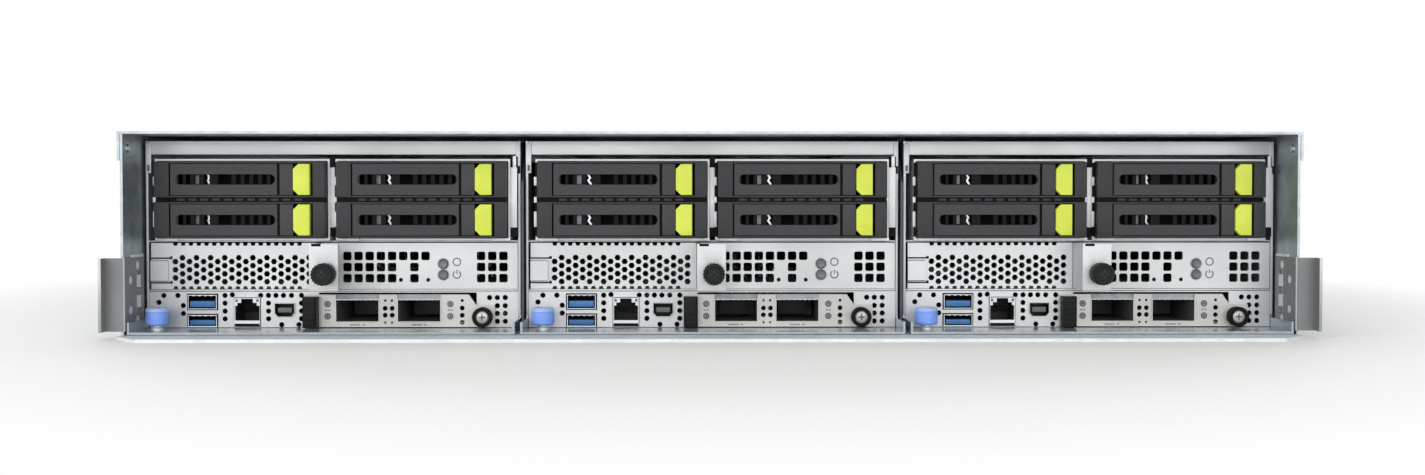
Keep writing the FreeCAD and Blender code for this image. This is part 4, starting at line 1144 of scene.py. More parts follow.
    def _button_marks(self, made: Shape) -> None:
        """Adds the buttons' rims, the two printed signs and a black block above the thumbscrew's
        tab, painted shade of the gap there.

        Args:
            made: The front.
        """
        rim = self.button_radius
        for up in BUTTON_HEIGHTS:
            made.turned([(rim, SLED_FACE), (rim, SLED_FACE - 0.3), (rim + 0.25, SLED_FACE - 0.3),
                         (rim + 0.4, SLED_FACE)], (BUTTON_ACROSS, up), EDGE_STEEL_AND_HIGHLIGHT, ring=True)
        sign = self.left + self.sign_across
        front, back = SLED_FACE - 0.05, SLED_FACE + 0.2
        outer, inner = self.sign_radii
        for up, gap in zip(self.sign_heights, (0.0, 0.6)):
            arc = [math.pi / 2 + gap + (2 * math.pi - 2 * gap) * step / 24 for step in range(25)]
            line = [(sign + outer * math.cos(a), up + outer * math.sin(a)) for a in arc]
            line += [(sign + inner * math.cos(a), up + inner * math.sin(a)) for a in reversed(arc)]
            made.prism(line, front, back, PRINT_AND_SHADE_GREY)
        made.prism(rectangle((sign - 0.25, 27.7), (sign + 0.25, 29.5)), front, back, PRINT_AND_SHADE_GREY)
        # A black block above the thumbscrew's tab: painted shade of the gap there.
        made.block((-6.1, self.tab_front - 0.06, 41.0), (-1.8, self.tab_front + 0.5, 42.16),
                   BLACK_AND_PAINTED_SHADE, 0.05)

    def _socket_plate(self, made: Shape) -> None:
        """Adds the plate round the sockets with its round holes.

        Args:
            made: The front.
        """
        left, low, high = self.plate_left, self.plate_low, self.plate_high
        card_left, card_right, card_top = self.card_window
        outline = [(left, low), (card_left, low), (card_left, card_top), (card_right, card_top),
                   (card_right, low), (-left, low), (-left, high), (left, high)]
        cutouts = [rectangle((-68.5, 2.9), (-53.9, 9.1)), rectangle((-68.5, 10.7), (-53.9, 18.5)),
                   rectangle((-46.7, 2.9), (-34.1, 16.7)),
                   [(-27.85, 14.15), (-27.85, 9.15), (-26.25, 7.35), (-19.75, 7.35),
                    (-18.15, 9.15), (-18.15, 14.15)]]
        spots = [(5.5, 14.4), (7.8, 17.6), (14.3, 17.6), (16.8, 12.9), (16.8, 9.2), (39.6, 17.9)]
        for columns, rows in (((36.2, 56.4, 71.8), (17.6, 14.0, 10.3, 6.7)),
                              ((52.8, 59.9, 63.4, 67.1), (17.6,)),
                              ((163.0, 166.7), (16.5, 12.7, 9.1, 5.4))):
            spots += [(across, up) for across in columns for up in rows]
        spots += [(159.4, 16.5), (62.5, 3.9), (70.5, 3.9)]
        holes = [(self.left + across, up, self.hole_radius) for across, up in spots]
        made.sheet(PerforatedSheet(outline, SLED_FACE, self.thick, holes, cutouts), FACE_STEEL)

    def _cage_edges(self, made: Shape) -> None:
        """Adds the folded edges, spring lugs and feet round the drive cages, and black painted
        shade in their gaps.

        Args:
            made: The front.
        """
        low, high = self.strip_low, self.strip_high
        proud, flush = SLED_FACE - 2.2, SLED_FACE - 1.0
        for right, wide in self.strips:
            made.block((right, proud, low), (right + wide, flush, high), SLED_STEEL, 0.2)
            # Black blocks in the gaps above and below each strip: painted shade.
            for gap_low, gap_high in ((45.0, low - 0.1), (high + 0.1, 82.4)):
                made.block((right + 0.1, SLED_FACE - 1.4, gap_low),
                           (right + wide + 0.2, SLED_FACE - 0.4, gap_high), BLACK_AND_PAINTED_SHADE, 0.1)
        made.block((83.6, proud, high - 0.1), (85.2, flush, 82.6), SLED_STEEL, 0.2)
        dash = small_block((-1.8, -0.25, -0.55), (1.8, 0.2, 0.55), LEVER_GREY, 0.1)
        foot = small_block((0.0, -353.2, 43.15), (8.6, SLED_FACE, 44.4), SLED_STEEL, 0.25)
        gap_back = SLED_FACE - 4.6
        for left in self.cage_lefts:
            # A black bar behind the gap between the upper and lower carriers: painted shade.
            made.block((left + 1.4, gap_back, 61.45), (left + 79.7, SLED_FACE, 63.05), BLACK_AND_PAINTED_SHADE, 0.1)
            made.repeat(dash, [(left + 13.0 + 5.4 * step, gap_back, 62.25) for step in range(11)],
                        LEVER_GREY)
            # A black block down the left of each cage: painted shade in the gap beside the
            # carriers.
            made.block((left - 0.05, SLED_FACE - 2.06, 45.0), (left + 1.1, SLED_FACE - 1.2, 79.6),
                       BLACK_AND_PAINTED_SHADE, 0.05)
            for lug_low, lug_high in self.lug_rows:
                made.block((left - 0.6, SLED_FACE - 3.0, lug_low),
                           (left + 0.8, SLED_FACE - 1.8, lug_high), SLED_STEEL, 0.3)
            made.repeat(foot, [(left + across, 0.0, 0.0) for across in (2.2, 72.6)], SLED_STEEL)
        # A thin black strip across the face just above the slot filler: a painted shade line.
        made.block((-85.4, SLED_FACE - 0.08, 42.15), (85.4, SLED_FACE + 0.2, 42.75), BLACK_AND_PAINTED_SHADE,
                   0.0)

    def _side_folds(self, made: Shape) -> None:
        """Adds the bright front edges of the side walls, with a fold and its relief at the top, the
        relief in painted shade.

        Args:
            made: The front.
        """
        edge, mark, fold, back = (SLED_FACE + by for by in (-0.3, -0.4, -0.7, 0.1))
        # The grey block on the left and the black block on the right sit in the folds' reliefs:
        # painted shade.
        for low, high, finish, bevel in (
                ((-86.95, edge, 8.4), (-85.9, back, 75.0), FACE_STEEL, 0.15),
                ((-86.95, fold, 74.6), (-84.4, back, 88.6), FACE_STEEL, 0.3),
                ((-86.2, fold - 0.05, 75.6), (-85.0, mark, 78.4), PRINT_AND_SHADE_GREY, 0.1),
                ((85.9, edge, 8.4), (86.95, back, 74.4), FACE_STEEL, 0.15),
                ((84.8, fold, 78.0), (86.95, back, 89.2), FACE_STEEL, 0.3),
                ((85.6, mark, 74.4), (86.9, back, 77.9), BLACK_AND_PAINTED_SHADE, 0.1)):
            made.block(low, high, finish, bevel)


@dataclass
class SocketRow:
    """The sockets of the mainboard that show in the socket plate."""

    front: float = -350.6
    wall: float = 0.32
    stack: Point = (-67.9, -54.5)
    stack_rows: tuple[Point, Point] = ((3.0, 8.5), (11.2, 17.9))
    jack: Point = (-46.4, -34.4)
    jack_rows: Point = (3.4, 16.4)
    contact_pitch: float = 1.02

    def build(self, sled: Sled) -> None:
        """Makes one sled's sockets.

        Args:
            sled: The sled.
        """
        made = Shape()
        for low, high in self.stack_rows:
            self._bus_socket(made, low, high)
        self._network_jack(made)
        self._video_socket(made)
        made.piece(f"sockets_{sled.word}", f"sled_{sled.word}", "board_green", (sled.value, 0, 0))

    def _bus_socket(self, made: Shape, low: float, high: float) -> None:
        """Adds one bus socket with its blue tongue and spring strips.

        Args:
            made: The sockets.
            low: The underside of the socket.
            high: Its top.
        """
        (left, right), front, wall = self.stack, self.front, self.wall
        # The metal shell is black inside: painted shade in the socket's mouth.
        made.tube(rectangle((left, low), (right, high)),
                  rectangle((left + wall, low + wall), (right - wall, high - wall)),
                  front, front + 15, BRIGHT_METAL, BLACK_AND_PAINTED_SHADE)
        made.block((left + 0.9, front + 0.3, low + 0.14 * (high - low)),
                   (right - 0.9, front + 13, low + 0.56 * (high - low)), SOCKET_BLUE, 0.25)
        strip = small_block((-0.6, 0.3, -0.35), (0.6, 4.0, 0.1), BRIGHT_METAL, 0.1)
        made.repeat(strip, [(left + 2.6 + 2.7 * step, front, high - wall) for step in range(4)],
                    BRIGHT_METAL)

    def _network_jack(self, made: Shape) -> None:
        """Adds the network jack with its stepped mouth and sprung contacts.

        Args:
            made: The sockets.
        """
        (left, right), (low, high), front = self.jack, self.jack_rows, self.front
        face = rectangle((left, low), (right, high))
        steps = [(0.2, 12.8), (1.5, 12.8), (1.5, 14.2), (3.3, 14.2), (3.3, 16.1)]
        mouth = [(left + 0.2, 5.9), (right - 0.2, 5.9)]
        mouth += [(right - inset, up) for inset, up in steps]
        mouth += [(left + inset, up) for inset, up in reversed(steps)]
        made.sheet(PerforatedSheet(face, front, 0.8, cutouts=[mouth]), BRIGHT_METAL)
        made.tube(face, rectangle((left + 0.4, low + 0.4), (right - 0.4, high - 0.4)),
                  front + 0.8, front + 16, BRIGHT_METAL, CHIP)
        made.block((left + 0.2, front - 0.03, low), (right - 0.2, front + 0.5, 4.5), BLACK_AND_PAINTED_SHADE,
                   0.02)
        contact = Shape()
        contact.prism([(3.5, 12.4), (10.0, 9.0), (10.3, 9.3), (3.8, 12.8)], -0.18, 0.18, BRASS,
                      Axis.X)
        made.repeat(contact, [((left + right) / 2 + self.contact_pitch * (step - 3.5), front, 0.0)
                              for step in range(8)], BRASS)
        for lamp in (left + 0.55, right - 1.75):
            made.block((lamp, front - 0.1, 14.6), (lamp + 1.2, front + 0.6, 15.9), PRINT_AND_SHADE_GREY, 0.15)

    def _video_socket(self, made: Shape) -> None:
        """Adds the small video socket with its slanted lower corners.

        Args:
            made: The sockets.
        """
        outer = [(-27.8, 14.1), (-27.8, 9.2), (-26.2, 7.4), (-19.8, 7.4), (-18.2, 9.2),
                 (-18.2, 14.1)]
        inner = [(-27.5, 13.8), (-27.5, 9.3), (-26.1, 7.7), (-19.9, 7.7), (-18.5, 9.3),
                 (-18.5, 13.8)]
        made.tube(outer, inner, self.front, self.front + 9, CARD_STEEL, CHIP)
        made.block((-26.2, self.front + 0.5, 9.6), (-19.8, self.front + 8.0, 11.9), PRINT_AND_SHADE_GREY, 0.2)


@dataclass
class NetworkCard:
    """The plug-in network card: faceplate, transceiver cages, pull tab and ring screw."""

    front: float = -351.3
    left: float = -13.8
    right: float = 75.0
    low: float = 2.9
    top: float = 18.0
    ports: tuple[Point, Point] = ((1.0, 21.2), (29.7, 49.9))
    port_rows: Point = (5.2, 15.8)
    tongues: tuple[Point, ...] = ((-6.0, 1.0), (21.2, 29.7), (49.9, 62.0))
    vent_radius: float = 1.15
    cage_wall: float = 0.25
    cage_long: float = 46.0
    finger_count: int = 8
    finger_inset: float = 1.7
    lamps: Point = (-2.8, 54.3)
    lamp_rows: Point = (13.6, 7.9)
    dash_up: float = 10.75
    print_up: float = 3.9
    print_steps: tuple[float, ...] = (-3.0, -1.8, -0.6, 0.6, 2.8)
    tab_nose: float = -357.4
    ring: Point = (69.5, 7.6)
    ring_nose: float = -356.3
    head_nose: float = -355.2
    board_top: float = 5.2

    def build(self, sled: Sled) -> None:
        """Makes one sled's network card.

        Args:
            sled: The sled.
        """
        made = Shape()
        port_low, top, vent = self.port_rows[0], self.top, self.vent_radius
        outline = [(self.left, self.low), (self.right, self.low), (self.right, 13.1), (66.4, 13.1),
                   (62.9, top)]
        for left, right in reversed(self.ports):
            outline += [(right, top), (right, port_low), (left, port_low), (left, top)]
        outline.append((self.left, top))
        holes = [(across, up, vent) for across in (23.9, 27.2) for up in (11.6, 8.4)]
        holes += [(across, up, 0.6) for across in (24.0, 27.1) for up in (15.2, 4.9)]
        holes += [(59.8, 15.2, 0.7), *((59.8, up, vent) for up in (11.7, 8.3, 5.0))]
        made.sheet(PerforatedSheet(outline, self.front, 1.0, holes), CARD_STEEL)
        for left, right in self.tongues:
            made.block((left, self.front + 0.2, top - 0.8), (right, self.front + 7.0, top),
                       CARD_STEEL, 0.2)
        for left, right in self.ports:
            self._transceiver_cage(made, left, right)
        self._printed_marks(made)
        self._pull_tab(made)
        self._ring_screw(made)
        self._board(made)
        made.piece(f"network_card_dressed_{sled.word}", f"network_card_{sled.word}", "card_steel",
                   (sled.value, 0, 0), [f"network_card_{sled.word}"])

    def _printed_marks(self, made: Shape) -> None:
        """Adds the printed rings round the lamps and the dashes between them and under the ports.

        Args:
            made: The card.
        """
        lamp, dot = Shape(), Shape()
        lamp.turned([(1.55, 0.0), (1.55, -0.1), (0.75, -0.1), (0.65, 0.0)], ORIGIN, PRINT_AND_SHADE_GREY,
                    sides=18, ring=True)
        dot.turned([(0.5, 0.0), (0.45, -0.1), (0.0, -0.1)], ORIGIN, CHIP, sides=12)
        dash = small_block((-0.45, -0.06, -0.3), (0.45, 0.2, 0.3), PRINT_AND_SHADE_GREY, 0.0)
        spots = [(across, self.front, up) for across in self.lamps for up in self.lamp_rows]
        made.repeat(lamp, spots, PRINT_AND_SHADE_GREY)
        made.repeat(dot, spots, CHIP)
        marks = [(across + step, self.front, self.dash_up) for across in self.lamps
                 for step in (-0.7, 0.7)]
        marks += [((left + right) / 2 + step, self.front, self.print_up)
                  for left, right in self.ports for step in self.print_steps]
        made.repeat(dash, marks, PRINT_AND_SHADE_GREY)

    def _transceiver_cage(self, made: Shape, left: float, right: float) -> None:
        """Adds one cage with its spring fingers and the connector inside.

        Args:
            made: The card.
            left: The cage's left side.
            right: Its right side.
        """
        (low, high), front, wall = self.port_rows, self.front, self.cage_wall
        start = front - 0.6
        # The cage is bright metal outside and darker inside: painted shade in its mouth.
        made.tube(rectangle((left, low), (right, high)),
                  rectangle((left + wall, low + wall), (right - wall, high - wall)),
                  start, start + self.cage_long, BRIGHT_METAL, CAGE_PAINTED_SHADE)
        finger = Shape()
        finger.prism([(0.0, 0.0), (2.2, -0.5), (5.0, 0.0), (5.0, 0.15), (0.0, 0.15)], -0.7, 0.7,
                     BRIGHT_METAL, Axis.X)
        inset = self.finger_inset
        pitch = (right - left - 2 * inset) / (self.finger_count - 1)
        made.repeat(finger, [(left + inset + pitch * step, start + 0.6, high - 0.4)
                             for step in range(self.finger_count)], BRIGHT_METAL)
        made.prism([(front + 0.4, high), (front + 1.8, self.top), (front + 3.0, self.top),
                    (front + 3.0, high)], left, right, GASKET, Axis.X)
        made.block((left + 2.5, start + 30, low + 1.5), (right - 2.5, start + 45, high - 1.5),
                   LEVER_GREY, 0.3)

    def _pull_tab(self, made: Shape) -> None:
        """Adds the black pull tab with its grip ribs.

        Args:
            made: The card.
        """
        nose, shoulder = self.tab_nose, self.tab_nose + 0.8
        plan = [(-13.3, self.front), (-13.3, shoulder), (-12.4, nose), (-7.7, nose),
                (-6.8, shoulder), (-6.8, self.front)]
        made.prism(plan, self.low, 17.2, BLACK_PLASTIC, Axis.Z, 0.3)
        rib = small_block((-2.4, -0.4, -0.35), (2.4, 0.1, 0.35), BLACK_PLASTIC, 0.1)
        made.repeat(rib, [(-10.05, nose, 5.2 + 2.4 * step) for step in range(5)], BLACK_PLASTIC)

    def _ring_screw(self, made: Shape) -> None:
        """Adds the captive screw: a black ring round a bright head with a cross recess.

        Args:
            made: The card.
        """
        front, nose, head = self.front, self.ring_nose, self.head_nose
        made.turned([(3.0, nose + 0.7), (3.2, nose), (4.3, nose), (4.6, nose + 0.4), (4.6, front),
                     (3.0, front)], self.ring, BLACK_AND_PAINTED_SHADE, sides=32, ring=True)
        made.turned([(0.0, head), (2.4, head), (2.9, head + 0.3), (2.9, front), (0.0, front)],
                    self.ring, CARD_STEEL, sides=32)
        # The grey cross is painted shade of the head's cross recess.
        cross_recess(made, self.ring, (head - 0.07, head + 0.3), (1.5, 0.35), PRINT_AND_SHADE_GREY)

    def _board(self, made: Shape) -> None:
        """Adds the card's board and what stands on it.

        Args:
            made: The card.
        """
        top = self.board_top
        made.block((-5.6, -350.3, 3.6), (65.4, -245.3, top), BOARD, 0.1)
        made.block((10.0, -296.0, top), (38.0, -268.0, top + 2.0), CHIP, 0.3)
        fin = small_block((-0.5, -14.0, 0.0), (0.5, 14.0, 7.0), ALUMINIUM, 0.1)
        made.repeat(fin, [(11.5 + 3.6 * step, -282.0, top + 2.0) for step in range(8)], ALUMINIUM)
        chip = small_block((-2.5, -2.0, 0.0), (2.5, 2.0, 1.1), CHIP, 0.15)
        made.repeat(chip, [(46.0 + 8.0 * (step % 2), -296.0 + 9.0 * (step // 2), top)
                           for step in range(8)], CHIP)


@dataclass
class DriveBay:
    """A drive carrier with its drive, and the lever that draws it out."""

    nodes: dict[str, bpy.types.Object]
    front: float = -357.0
    lever_low: float = 1.1
    lever_high: float = 15.5
    panel: Point = (7.6, 56.6)
    panel_thick: float = 1.2
    pill: tuple[Point, Point] = ((9.7, 5.9), (55.8, 10.7))
    slots: tuple[Point, ...] = ((10.6, 13.0), (14.3, 16.5), (18.2, 20.4), (22.6, 25.2),
                                (29.2, 35.4), (37.4, 39.6), (41.4, 43.6), (45.4, 47.6),
                                (49.4, 51.6), (53.2, 55.0))
    lining: Point = (9.0, 64.0)
    knuckle: Point = (8.9, -355.2)
    grip: Point = (64.1, 71.7)
    grip_cut: float = 2.4
    latch_deep: Point = (-352.6, -352.1)
    screw_across: Point = (6.2, 72.3)
    screw_deep: Spot = (-336.0, -293.0, -250.0)

    def build(self, sled: Sled, bay: Bay) -> None:
        """Makes the carrier and lever of one bay.

        Args:
            sled: The sled.
            bay: The bay.
        """
        ending = f"{sled.word}_{bay.number}"
        shift = bay.place(sled)
        carrier = self._carrier(self.nodes[f"drive_carrier_{ending}"], shift)
        carrier.piece(f"carrier_dressed_{ending}", f"drive_{ending}", "carrier_grey", shift,
                      [f"drive_carrier_{ending}"])
        self._lever().piece(f"lever_dressed_{ending}", f"lever_{ending}", "lever_grey", shift,
                            [f"drive_lever_{ending}"])

    def _carrier(self, node: bpy.types.Object, shift: Spot) -> Shape:
        """Draws the carrier about its own corner.

        Args:
            node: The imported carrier.
            shift: Where that carrier starts.

        Returns:
            The carrier with its drive.
        """
        made = Shape()
        across, deep, up = shift
        for solid in solids_of(node):
            solid = solid.shifted((-across, -deep, -up))
            is_frame = solid.size.x > 75
            made.solid(solid, CARRIER_GREY if is_frame else DRIVE_CASE, 0.3 if is_frame else 0.6)
        # A black sheet behind the lever's slots: painted shade in the hollow behind them.
        made.block((6.9, -345.4, 1.0), (72.8, -344.6, 15.6), BLACK_AND_PAINTED_SHADE, 0.1)
        made.prism(rectangle((17.8, 6.2), (20.2, 10.4)), *self.latch_deep, CAGE_INSIDE)
        spring = [(22.4, 10.3), (22.9, 10.6), (23.7, 9.2), (22.9, 7.8), (24.3, 5.8), (25.2, 6.1),
                  (23.9, 7.9), (24.7, 9.2), (23.6, 11.0), (22.4, 10.9)]
        made.prism(spring, *self.latch_deep, BRIGHT_METAL)
        made.block((8.0, -336.0, 15.5), (70.5, -250.0, 15.9), ALUMINIUM, 0.15)
        made.repeat(pan_head(Axis.Z, 1.6, 0.4, 1),
                    [(side, back, 15.8) for side in self.screw_across for back in self.screw_deep],
                    BRIGHT_METAL)
        return made

    def _lever(self) -> Shape:
        """Draws the lever about the carrier's corner: slotted panel, knuckle and lime grip.

        Returns:
            The lever.
        """
        made = Shape()
        low, high, front = self.lever_low, self.lever_high, self.front
        (panel_left, panel_right), (grip_left, grip_right) = self.panel, self.grip
        (_, pill_low), (_, pill_high) = self.pill
        face = rectangle((panel_left, low), (panel_right, high))
        made.sheet(PerforatedSheet(face, front, self.panel_thick, cutouts=[capsule(*self.pill)]),
                   LEVER_GREY)
        bars = [rectangle((left, pill_low + 0.1), (right, pill_high - 0.1))
                for left, right in self.slots]
        lining = rectangle((self.lining[0], low), (self.lining[1], high))
        made.sheet(PerforatedSheet(lining, front + self.panel_thick, 1.4, cutouts=bars), BLACK_AND_PAINTED_SHADE)
        made.turned([(1.7, low), (1.8, low + 0.2), (1.8, high - 0.2), (1.7, high)], self.knuckle,
                    LEVER_GREY, Axis.Z, sides=20)
        made.block((57.8, front, low), (63.9, front + 1.3, high), LEVER_GREY, 0.25)
        cut = self.grip_cut
        outline = [(grip_left + cut, low), (grip_right, low), (grip_right, high),
                   (grip_left + cut, high), (grip_left, high - cut), (grip_left, low + cut)]
        made.prism(outline, front - 0.9, front + 2.6, LIME, bevel=0.35)
        return made


@dataclass
class SmallControls:
    """A sled's thumbscrew, release plunger and two buttons."""

    screw: Point = (0.5, 28.5)
    screw_nose: float = -378.3
    plunger: Point = (-78.0, -363.0)

    def build(self, sled: Sled) -> None:
        """Makes one sled's controls.

        Args:
            sled: The sled.
        """
        power, identify = (self._button(up) for up in BUTTON_HEIGHTS)
        for name, shape, slot in (("thumbscrew", self._thumbscrew(), "black_plastic"),
                                  ("release_plunger", self._plunger(), "blue_plastic"),
                                  ("power_button", power, "button_plastic"),
                                  ("identify_button", identify, "button_plastic")):
            body = f"{name}_{sled.word}"
            shape.piece(f"{name}_dressed_{sled.word}", body, slot, (sled.value, 0.0, 0.0), [body])

    def _thumbscrew(self) -> Shape:
        """Draws the knurled thumbscrew with a cross recess in its head.

        Returns:
            The thumbscrew.
        """
        made = Shape()
        nose = self.screw_nose
        made.turned([(0.0, nose), (3.2, nose), (3.6, nose - 0.4), (4.5, nose - 0.4),
                     (5.1, nose + 0.3), (5.1, -369.9), (4.6, -369.35), (2.4, -369.35),
                     (2.4, -352.4), (1.8, -351.9), (0.0, -351.9)], self.screw, BLACK_PLASTIC,
                    sides=40, knurl=0.45)
        # The dark cross is painted shade of the head's recess, not a hollow.
        cross_recess(made, self.screw, (nose - 0.08, nose + 0.4), (1.7, 0.4), CHIP)
        return made

    def _plunger(self) -> Shape:
        """Draws the plunger: bright pin, blue ribbed knob and pale crown.

        Returns:
            The plunger.
        """
        made = Shape()
        made.turned([(0.0, 1.5), (2.4, 1.5), (2.9, 2.0), (2.9, 3.4), (2.4, 4.0), (2.4, 5.0),
                     (0.0, 5.0)], self.plunger, SLED_STEEL, Axis.Z, sides=24)
        made.turned([(0.0, 4.8), (4.5, 4.8), (5.25, 5.5), (5.25, 10.6), (4.9, 11.0), (0.0, 11.0)],
                    self.plunger, BLUE_PLASTIC, Axis.Z, sides=48, knurl=0.14)
        made.turned([(0.0, 11.0), (5.1, 11.0), (5.1, 12.2), (4.5, 12.8), (0.0, 12.8)], self.plunger,
                    PALE_BLUE, Axis.Z, sides=48)
        return made

    def _button(self, up: float) -> Shape:
        """Draws one push button with a dished face.

        Args:
            up: The height of the button's middle.

        Returns:
            The button.
        """
        made = Shape()
        made.turned([(0.0, -351.0), (1.2, -351.1), (1.8, -351.4), (2.1, -351.15), (2.1, -343.0),
                     (0.0, -343.0)], (BUTTON_ACROSS, up), BUTTON_PLASTIC)
        return made


@dataclass
class Boards:
    """What a sled holds behind its front: boards, cooler, memory, fans and power plug."""

    nodes: dict[str, bpy.types.Object]
    top: float = 8.0
    memory_split: float = 15.6
    coil_start: float = -34.0
    coil_pitch: float = 9.8
    coil_count: int = 8
    spreader_top: float = 11.4
    pin_rows: Point = (8.2, 23.2)

    def build(self, sled: Sled) -> None:
        """Makes one sled's boards.

        Args:
            sled: The sled.
        """
        made = Shape()
        name = f"sled_electronics_{sled.word}"
        for solid in solids_of(self.nodes[name]):
            self._dress(made, solid.shifted((-sled.value, 0.0, 0.0)))
        self._mainboard_parts(made)
        made.piece(f"boards_{sled.word}", f"sled_{sled.word}", "board_green", (sled.value, 0, 0),
                   [name])

    def _dress(self, made: Shape, solid: Solid) -> None:
        """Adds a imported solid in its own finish, apart from the sockets, which are made anew.

        Args:
            made: The boards.
            solid: The solid.
        """
        size, middle = solid.size, solid.middle
        is_socket = middle.y < -335 and middle.z < 20
        is_memory = size.y > 140 and size.x < 6
        is_cooler = size.z > 50 and size.y > 100
        is_fan = size.z > 70
        is_cooler_base = 60 < size.x < 80 and size.z < 10
        is_plug = middle.y > 300 and size.z > 10 or size.x < 12 and size.z < 15
        if is_socket:
            return
        if is_memory:
            faces = made.solid(solid, BLACK_PLASTIC, 0.2)
            made.paint([face for face in faces
                        if face.calc_center_median().z > self.memory_split * MM], BOARD)
        elif is_cooler:
            made.solid(solid, COOLER_METAL, 0.15)
        elif is_fan:
            made.solid(solid, FAN_PLASTIC, 0.5)
        elif is_cooler_base:
            made.solid(solid, BRIGHT_METAL, 0.4)
        elif is_plug:
            made.solid(solid, BLACK_PLASTIC, 0.4)
        else:
            made.solid(solid, BOARD, 0.1)

    def _mainboard_parts(self, made: Shape) -> None:
        """Adds the chokes, capacitors, chips and plugs of the mainboard.

        Args:
            made: The boards.
        """
        top = self.top
        coils = [self.coil_start + self.coil_pitch * step for step in range(self.coil_count)]
        choke = small_block((-4.2, -4.2, 0.0), (4.2, 4.2, 6.0), CHIP, 0.6)
        made.repeat(choke, [(across, deep, top) for across in coils for deep in (-74.0, 64.0)],
                    CHIP)
        can = Shape()
        can.turned([(3.0, 0.0), (3.0, 7.4), (2.6, 7.9), (0.0, 7.9)], ORIGIN, ALUMINIUM, Axis.Z,
                   sides=18)
        made.repeat(can, [(across, deep, top) for across in coils for deep in (-86.0, 77.0)],
                    ALUMINIUM)
        chip = small_block((-3.2, -2.4, 0.0), (3.2, 2.4, 1.2), CHIP, 0.2)
        made.repeat(chip, [(-72.0 + 16.0 * (step % 10),
                            92.0 + 13.0 * (step // 10) + 4.0 * (step % 3), top)
                           for step in range(70)], CHIP)
        made.repeat(chip, [(-74.0 + 15.0 * (step % 11),
                            -200.0 + 14.0 * (step // 11) + 5.0 * (step % 2), top)
                           for step in range(77)], CHIP)
        fin = small_block((-0.5, -17.0, 0.0), (0.5, 17.0, 11.0), ALUMINIUM, 0.1)
        made.block((24.0, -178.0, top + 1.0), (58.0, -144.0, self.spreader_top), ALUMINIUM, 0.3)
        made.repeat(fin, [(26.0 + 3.75 * step, -161.0, self.spreader_top) for step in range(9)],
                    ALUMINIUM)
        plug = small_block((-5.0, -24.0, 0.0), (5.0, 24.0, 11.0), BLACK_PLASTIC, 0.5)
        made.repeat(plug, [(across, 165.0, top) for across in (-70.0, 70.0)], BLACK_PLASTIC)
        made.repeat(pan_head(Axis.Z, 4.2, 5.0, 1), [(across, deep, 19.0) for across in (-36.4, 36.4)
                                                    for deep in (-58.0, 48.0)], BRIGHT_METAL)
        contact = small_block((-2.2, 0.0, -0.25), (2.2, 16.0, 0.25), BRASS, 0.1)
        made.repeat(contact, [(-15.0 + 6.0 * step, 352.8, up) for step in range(6)
                              for up in self.pin_rows], BRASS)


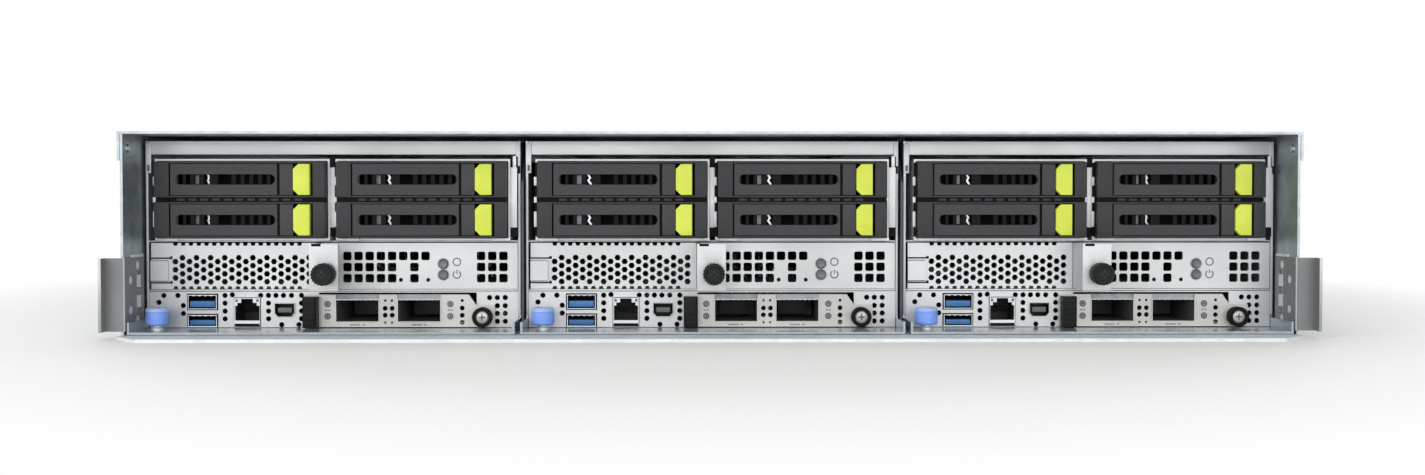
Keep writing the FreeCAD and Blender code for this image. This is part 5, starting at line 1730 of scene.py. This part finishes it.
@dataclass
class Studio:
    """The floor, the lamps, the surroundings and the camera of the photograph."""

    floor_half: float = 14.0
    floor_fade: Spot = (3.4, 2.3, 1.0)
    fade_range: Point = (1.25, 1.7)
    camera_spot: Spot = (-0.0098, -1.0968, 0.0623)
    camera_pitch: float = -1.36
    camera_yaw: float = 0.76
    lens: float = 40.34
    surround: float = 0.48

    def build(self) -> None:
        """Makes the stage and the camera."""
        bpy.context.scene.view_settings.view_transform = "Standard"
        self._floor()
        self._world()
        for name, spot, size, power in (("front_lamp", (0.2, -2.8, 0.55), (5.0, 1.05), 32.0),
                                        ("left_lamp", (-2.2, -1.8, 0.8), (1.6, 1.6), 18.0),
                                        ("top_lamp", (-0.4, 0.4, 2.6), (2.4, 2.4), 18.0)):
            self._lamp(name, spot, size, power)
        self._camera()

    def _floor(self) -> None:
        """Adds the pale floor, which fades to plain white away from the part."""
        mesh = bpy.data.meshes.new("floor")
        half = self.floor_half
        mesh.from_pydata([(-half, -half, 0), (half, -half, 0), (half, half, 0), (-half, half, 0)],
                         [], [(0, 1, 2, 3)])
        floor = bpy.data.objects.new("floor", mesh)
        bpy.context.scene.collection.objects.link(floor)
        made = bpy.data.materials.new("pale_floor")
        made.use_nodes = True
        tree = made.node_tree
        wiring = Wiring(tree)
        shader = tree.nodes["Principled BSDF"]
        shader.inputs["Base Color"].default_value = linear("FDFDFC")
        shader.inputs["Roughness"].default_value = 0.6
        white = wiring.add("ShaderNodeEmission", {"Color": (1.0, 1.0, 1.0, 1.0), "Strength": 1.0})
        spot = wiring.add("ShaderNodeTexCoord").outputs["Object"]
        shrunk = wiring.add("ShaderNodeVectorMath", {0: spot, 1: self.floor_fade},
                            operation="MULTIPLY")
        reach = wiring.add("ShaderNodeVectorMath", {0: shrunk.outputs[0]}, operation="LENGTH")
        near, far = self.fade_range
        fade = wiring.add("ShaderNodeMapRange", {"Value": reach.outputs["Value"], "From Min": near,
                                                 "From Max": far})
        share = wiring.add("ShaderNodeMath", {0: fade.outputs[0], 1: self._seen(wiring)},
                           operation="MULTIPLY")
        mixed = wiring.add("ShaderNodeMixShader", {0: share.outputs[0], 1: shader.outputs[0],
                                                   2: white.outputs[0]})
        tree.links.new(mixed.outputs[0], tree.nodes["Material Output"].inputs["Surface"])
        mesh.materials.append(made)

    def _seen(self, wiring: Wiring) -> bpy.types.NodeSocket:
        """Adds a mask of the rays that look at or mirror the background.

        Args:
            wiring: The nodes that it is added to.

        Returns:
            The mask's socket.
        """
        ray = wiring.add("ShaderNodeLightPath")
        mirrored = wiring.add("ShaderNodeMath", {0: ray.outputs["Is Glossy Ray"],
                                                 1: ray.outputs["Is Transmission Ray"]},
                              operation="MAXIMUM")
        both = wiring.add("ShaderNodeMath", {0: ray.outputs["Is Camera Ray"],
                                             1: mirrored.outputs[0]}, operation="MAXIMUM")
        return both.outputs[0]

    def _world(self) -> None:
        """Makes the surroundings: white where they are seen, softer where they light the part."""
        world = bpy.data.worlds.new("studio")
        world.use_nodes = True
        bpy.context.scene.world = world
        wiring = Wiring(world.node_tree)
        ground = world.node_tree.nodes["Background"]
        strength = wiring.add("ShaderNodeMapRange", {"Value": self._seen(wiring),
                                                     "To Min": self.surround, "To Max": 1.0})
        ground.inputs["Color"].default_value = (1.0, 1.0, 1.0, 1.0)
        world.node_tree.links.new(strength.outputs[0], ground.inputs["Strength"])

    def _lamp(self, name: str, spot: Spot, size: Point, power: float) -> None:
        """Adds a soft lamp that points at the part.

        Args:
            name: The lamp's name.
            spot: Where it stands, in metres.
            size: Its width and height.
            power: Its power in watts.
        """
        light = bpy.data.lights.new(name, "AREA")
        light.shape = "RECTANGLE"
        light.size, light.size_y = size
        light.energy = power
        lamp = bpy.data.objects.new(name, light)
        lamp.location = spot
        lamp.rotation_mode = "QUATERNION"
        lamp.rotation_quaternion = (-Vector(spot)).to_track_quat("-Z", "Y")
        bpy.context.scene.collection.objects.link(lamp)

    def _camera(self) -> None:
        """Adds the camera at the photograph's place."""
        view = bpy.data.cameras.new("camera")
        view.sensor_width, view.lens = 36.0, self.lens
        view.clip_start = 0.01
        camera = bpy.data.objects.new("camera", view)
        camera.location = self.camera_spot
        camera.rotation_euler = (math.radians(90 + self.camera_pitch), 0.0,
                                 -math.radians(self.camera_yaw))
        bpy.context.scene.collection.objects.link(camera)
        bpy.context.scene.camera = camera


def main() -> None:
    """Builds every sub-assembly, then the stage."""
    logging.basicConfig(level=logging.INFO, format="%(name)s: %(message)s")
    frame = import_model()
    nodes = frame["nodes"]
    chassis = Chassis(nodes)
    chassis.dress()
    chassis.fasteners()
    chassis.ears()
    chassis.power_rear()
    fronts, sockets, cards = SledFront(nodes), SocketRow(), NetworkCard()
    bays, controls, boards = DriveBay(nodes), SmallControls(), Boards(nodes)
    for sled in Sled:
        for group in (fronts, sockets, cards, controls, boards):
            group.build(sled)
        for bay in Bay:
            bays.build(sled, bay)
    Studio().build()


if __name__ == "__main__":
    main()
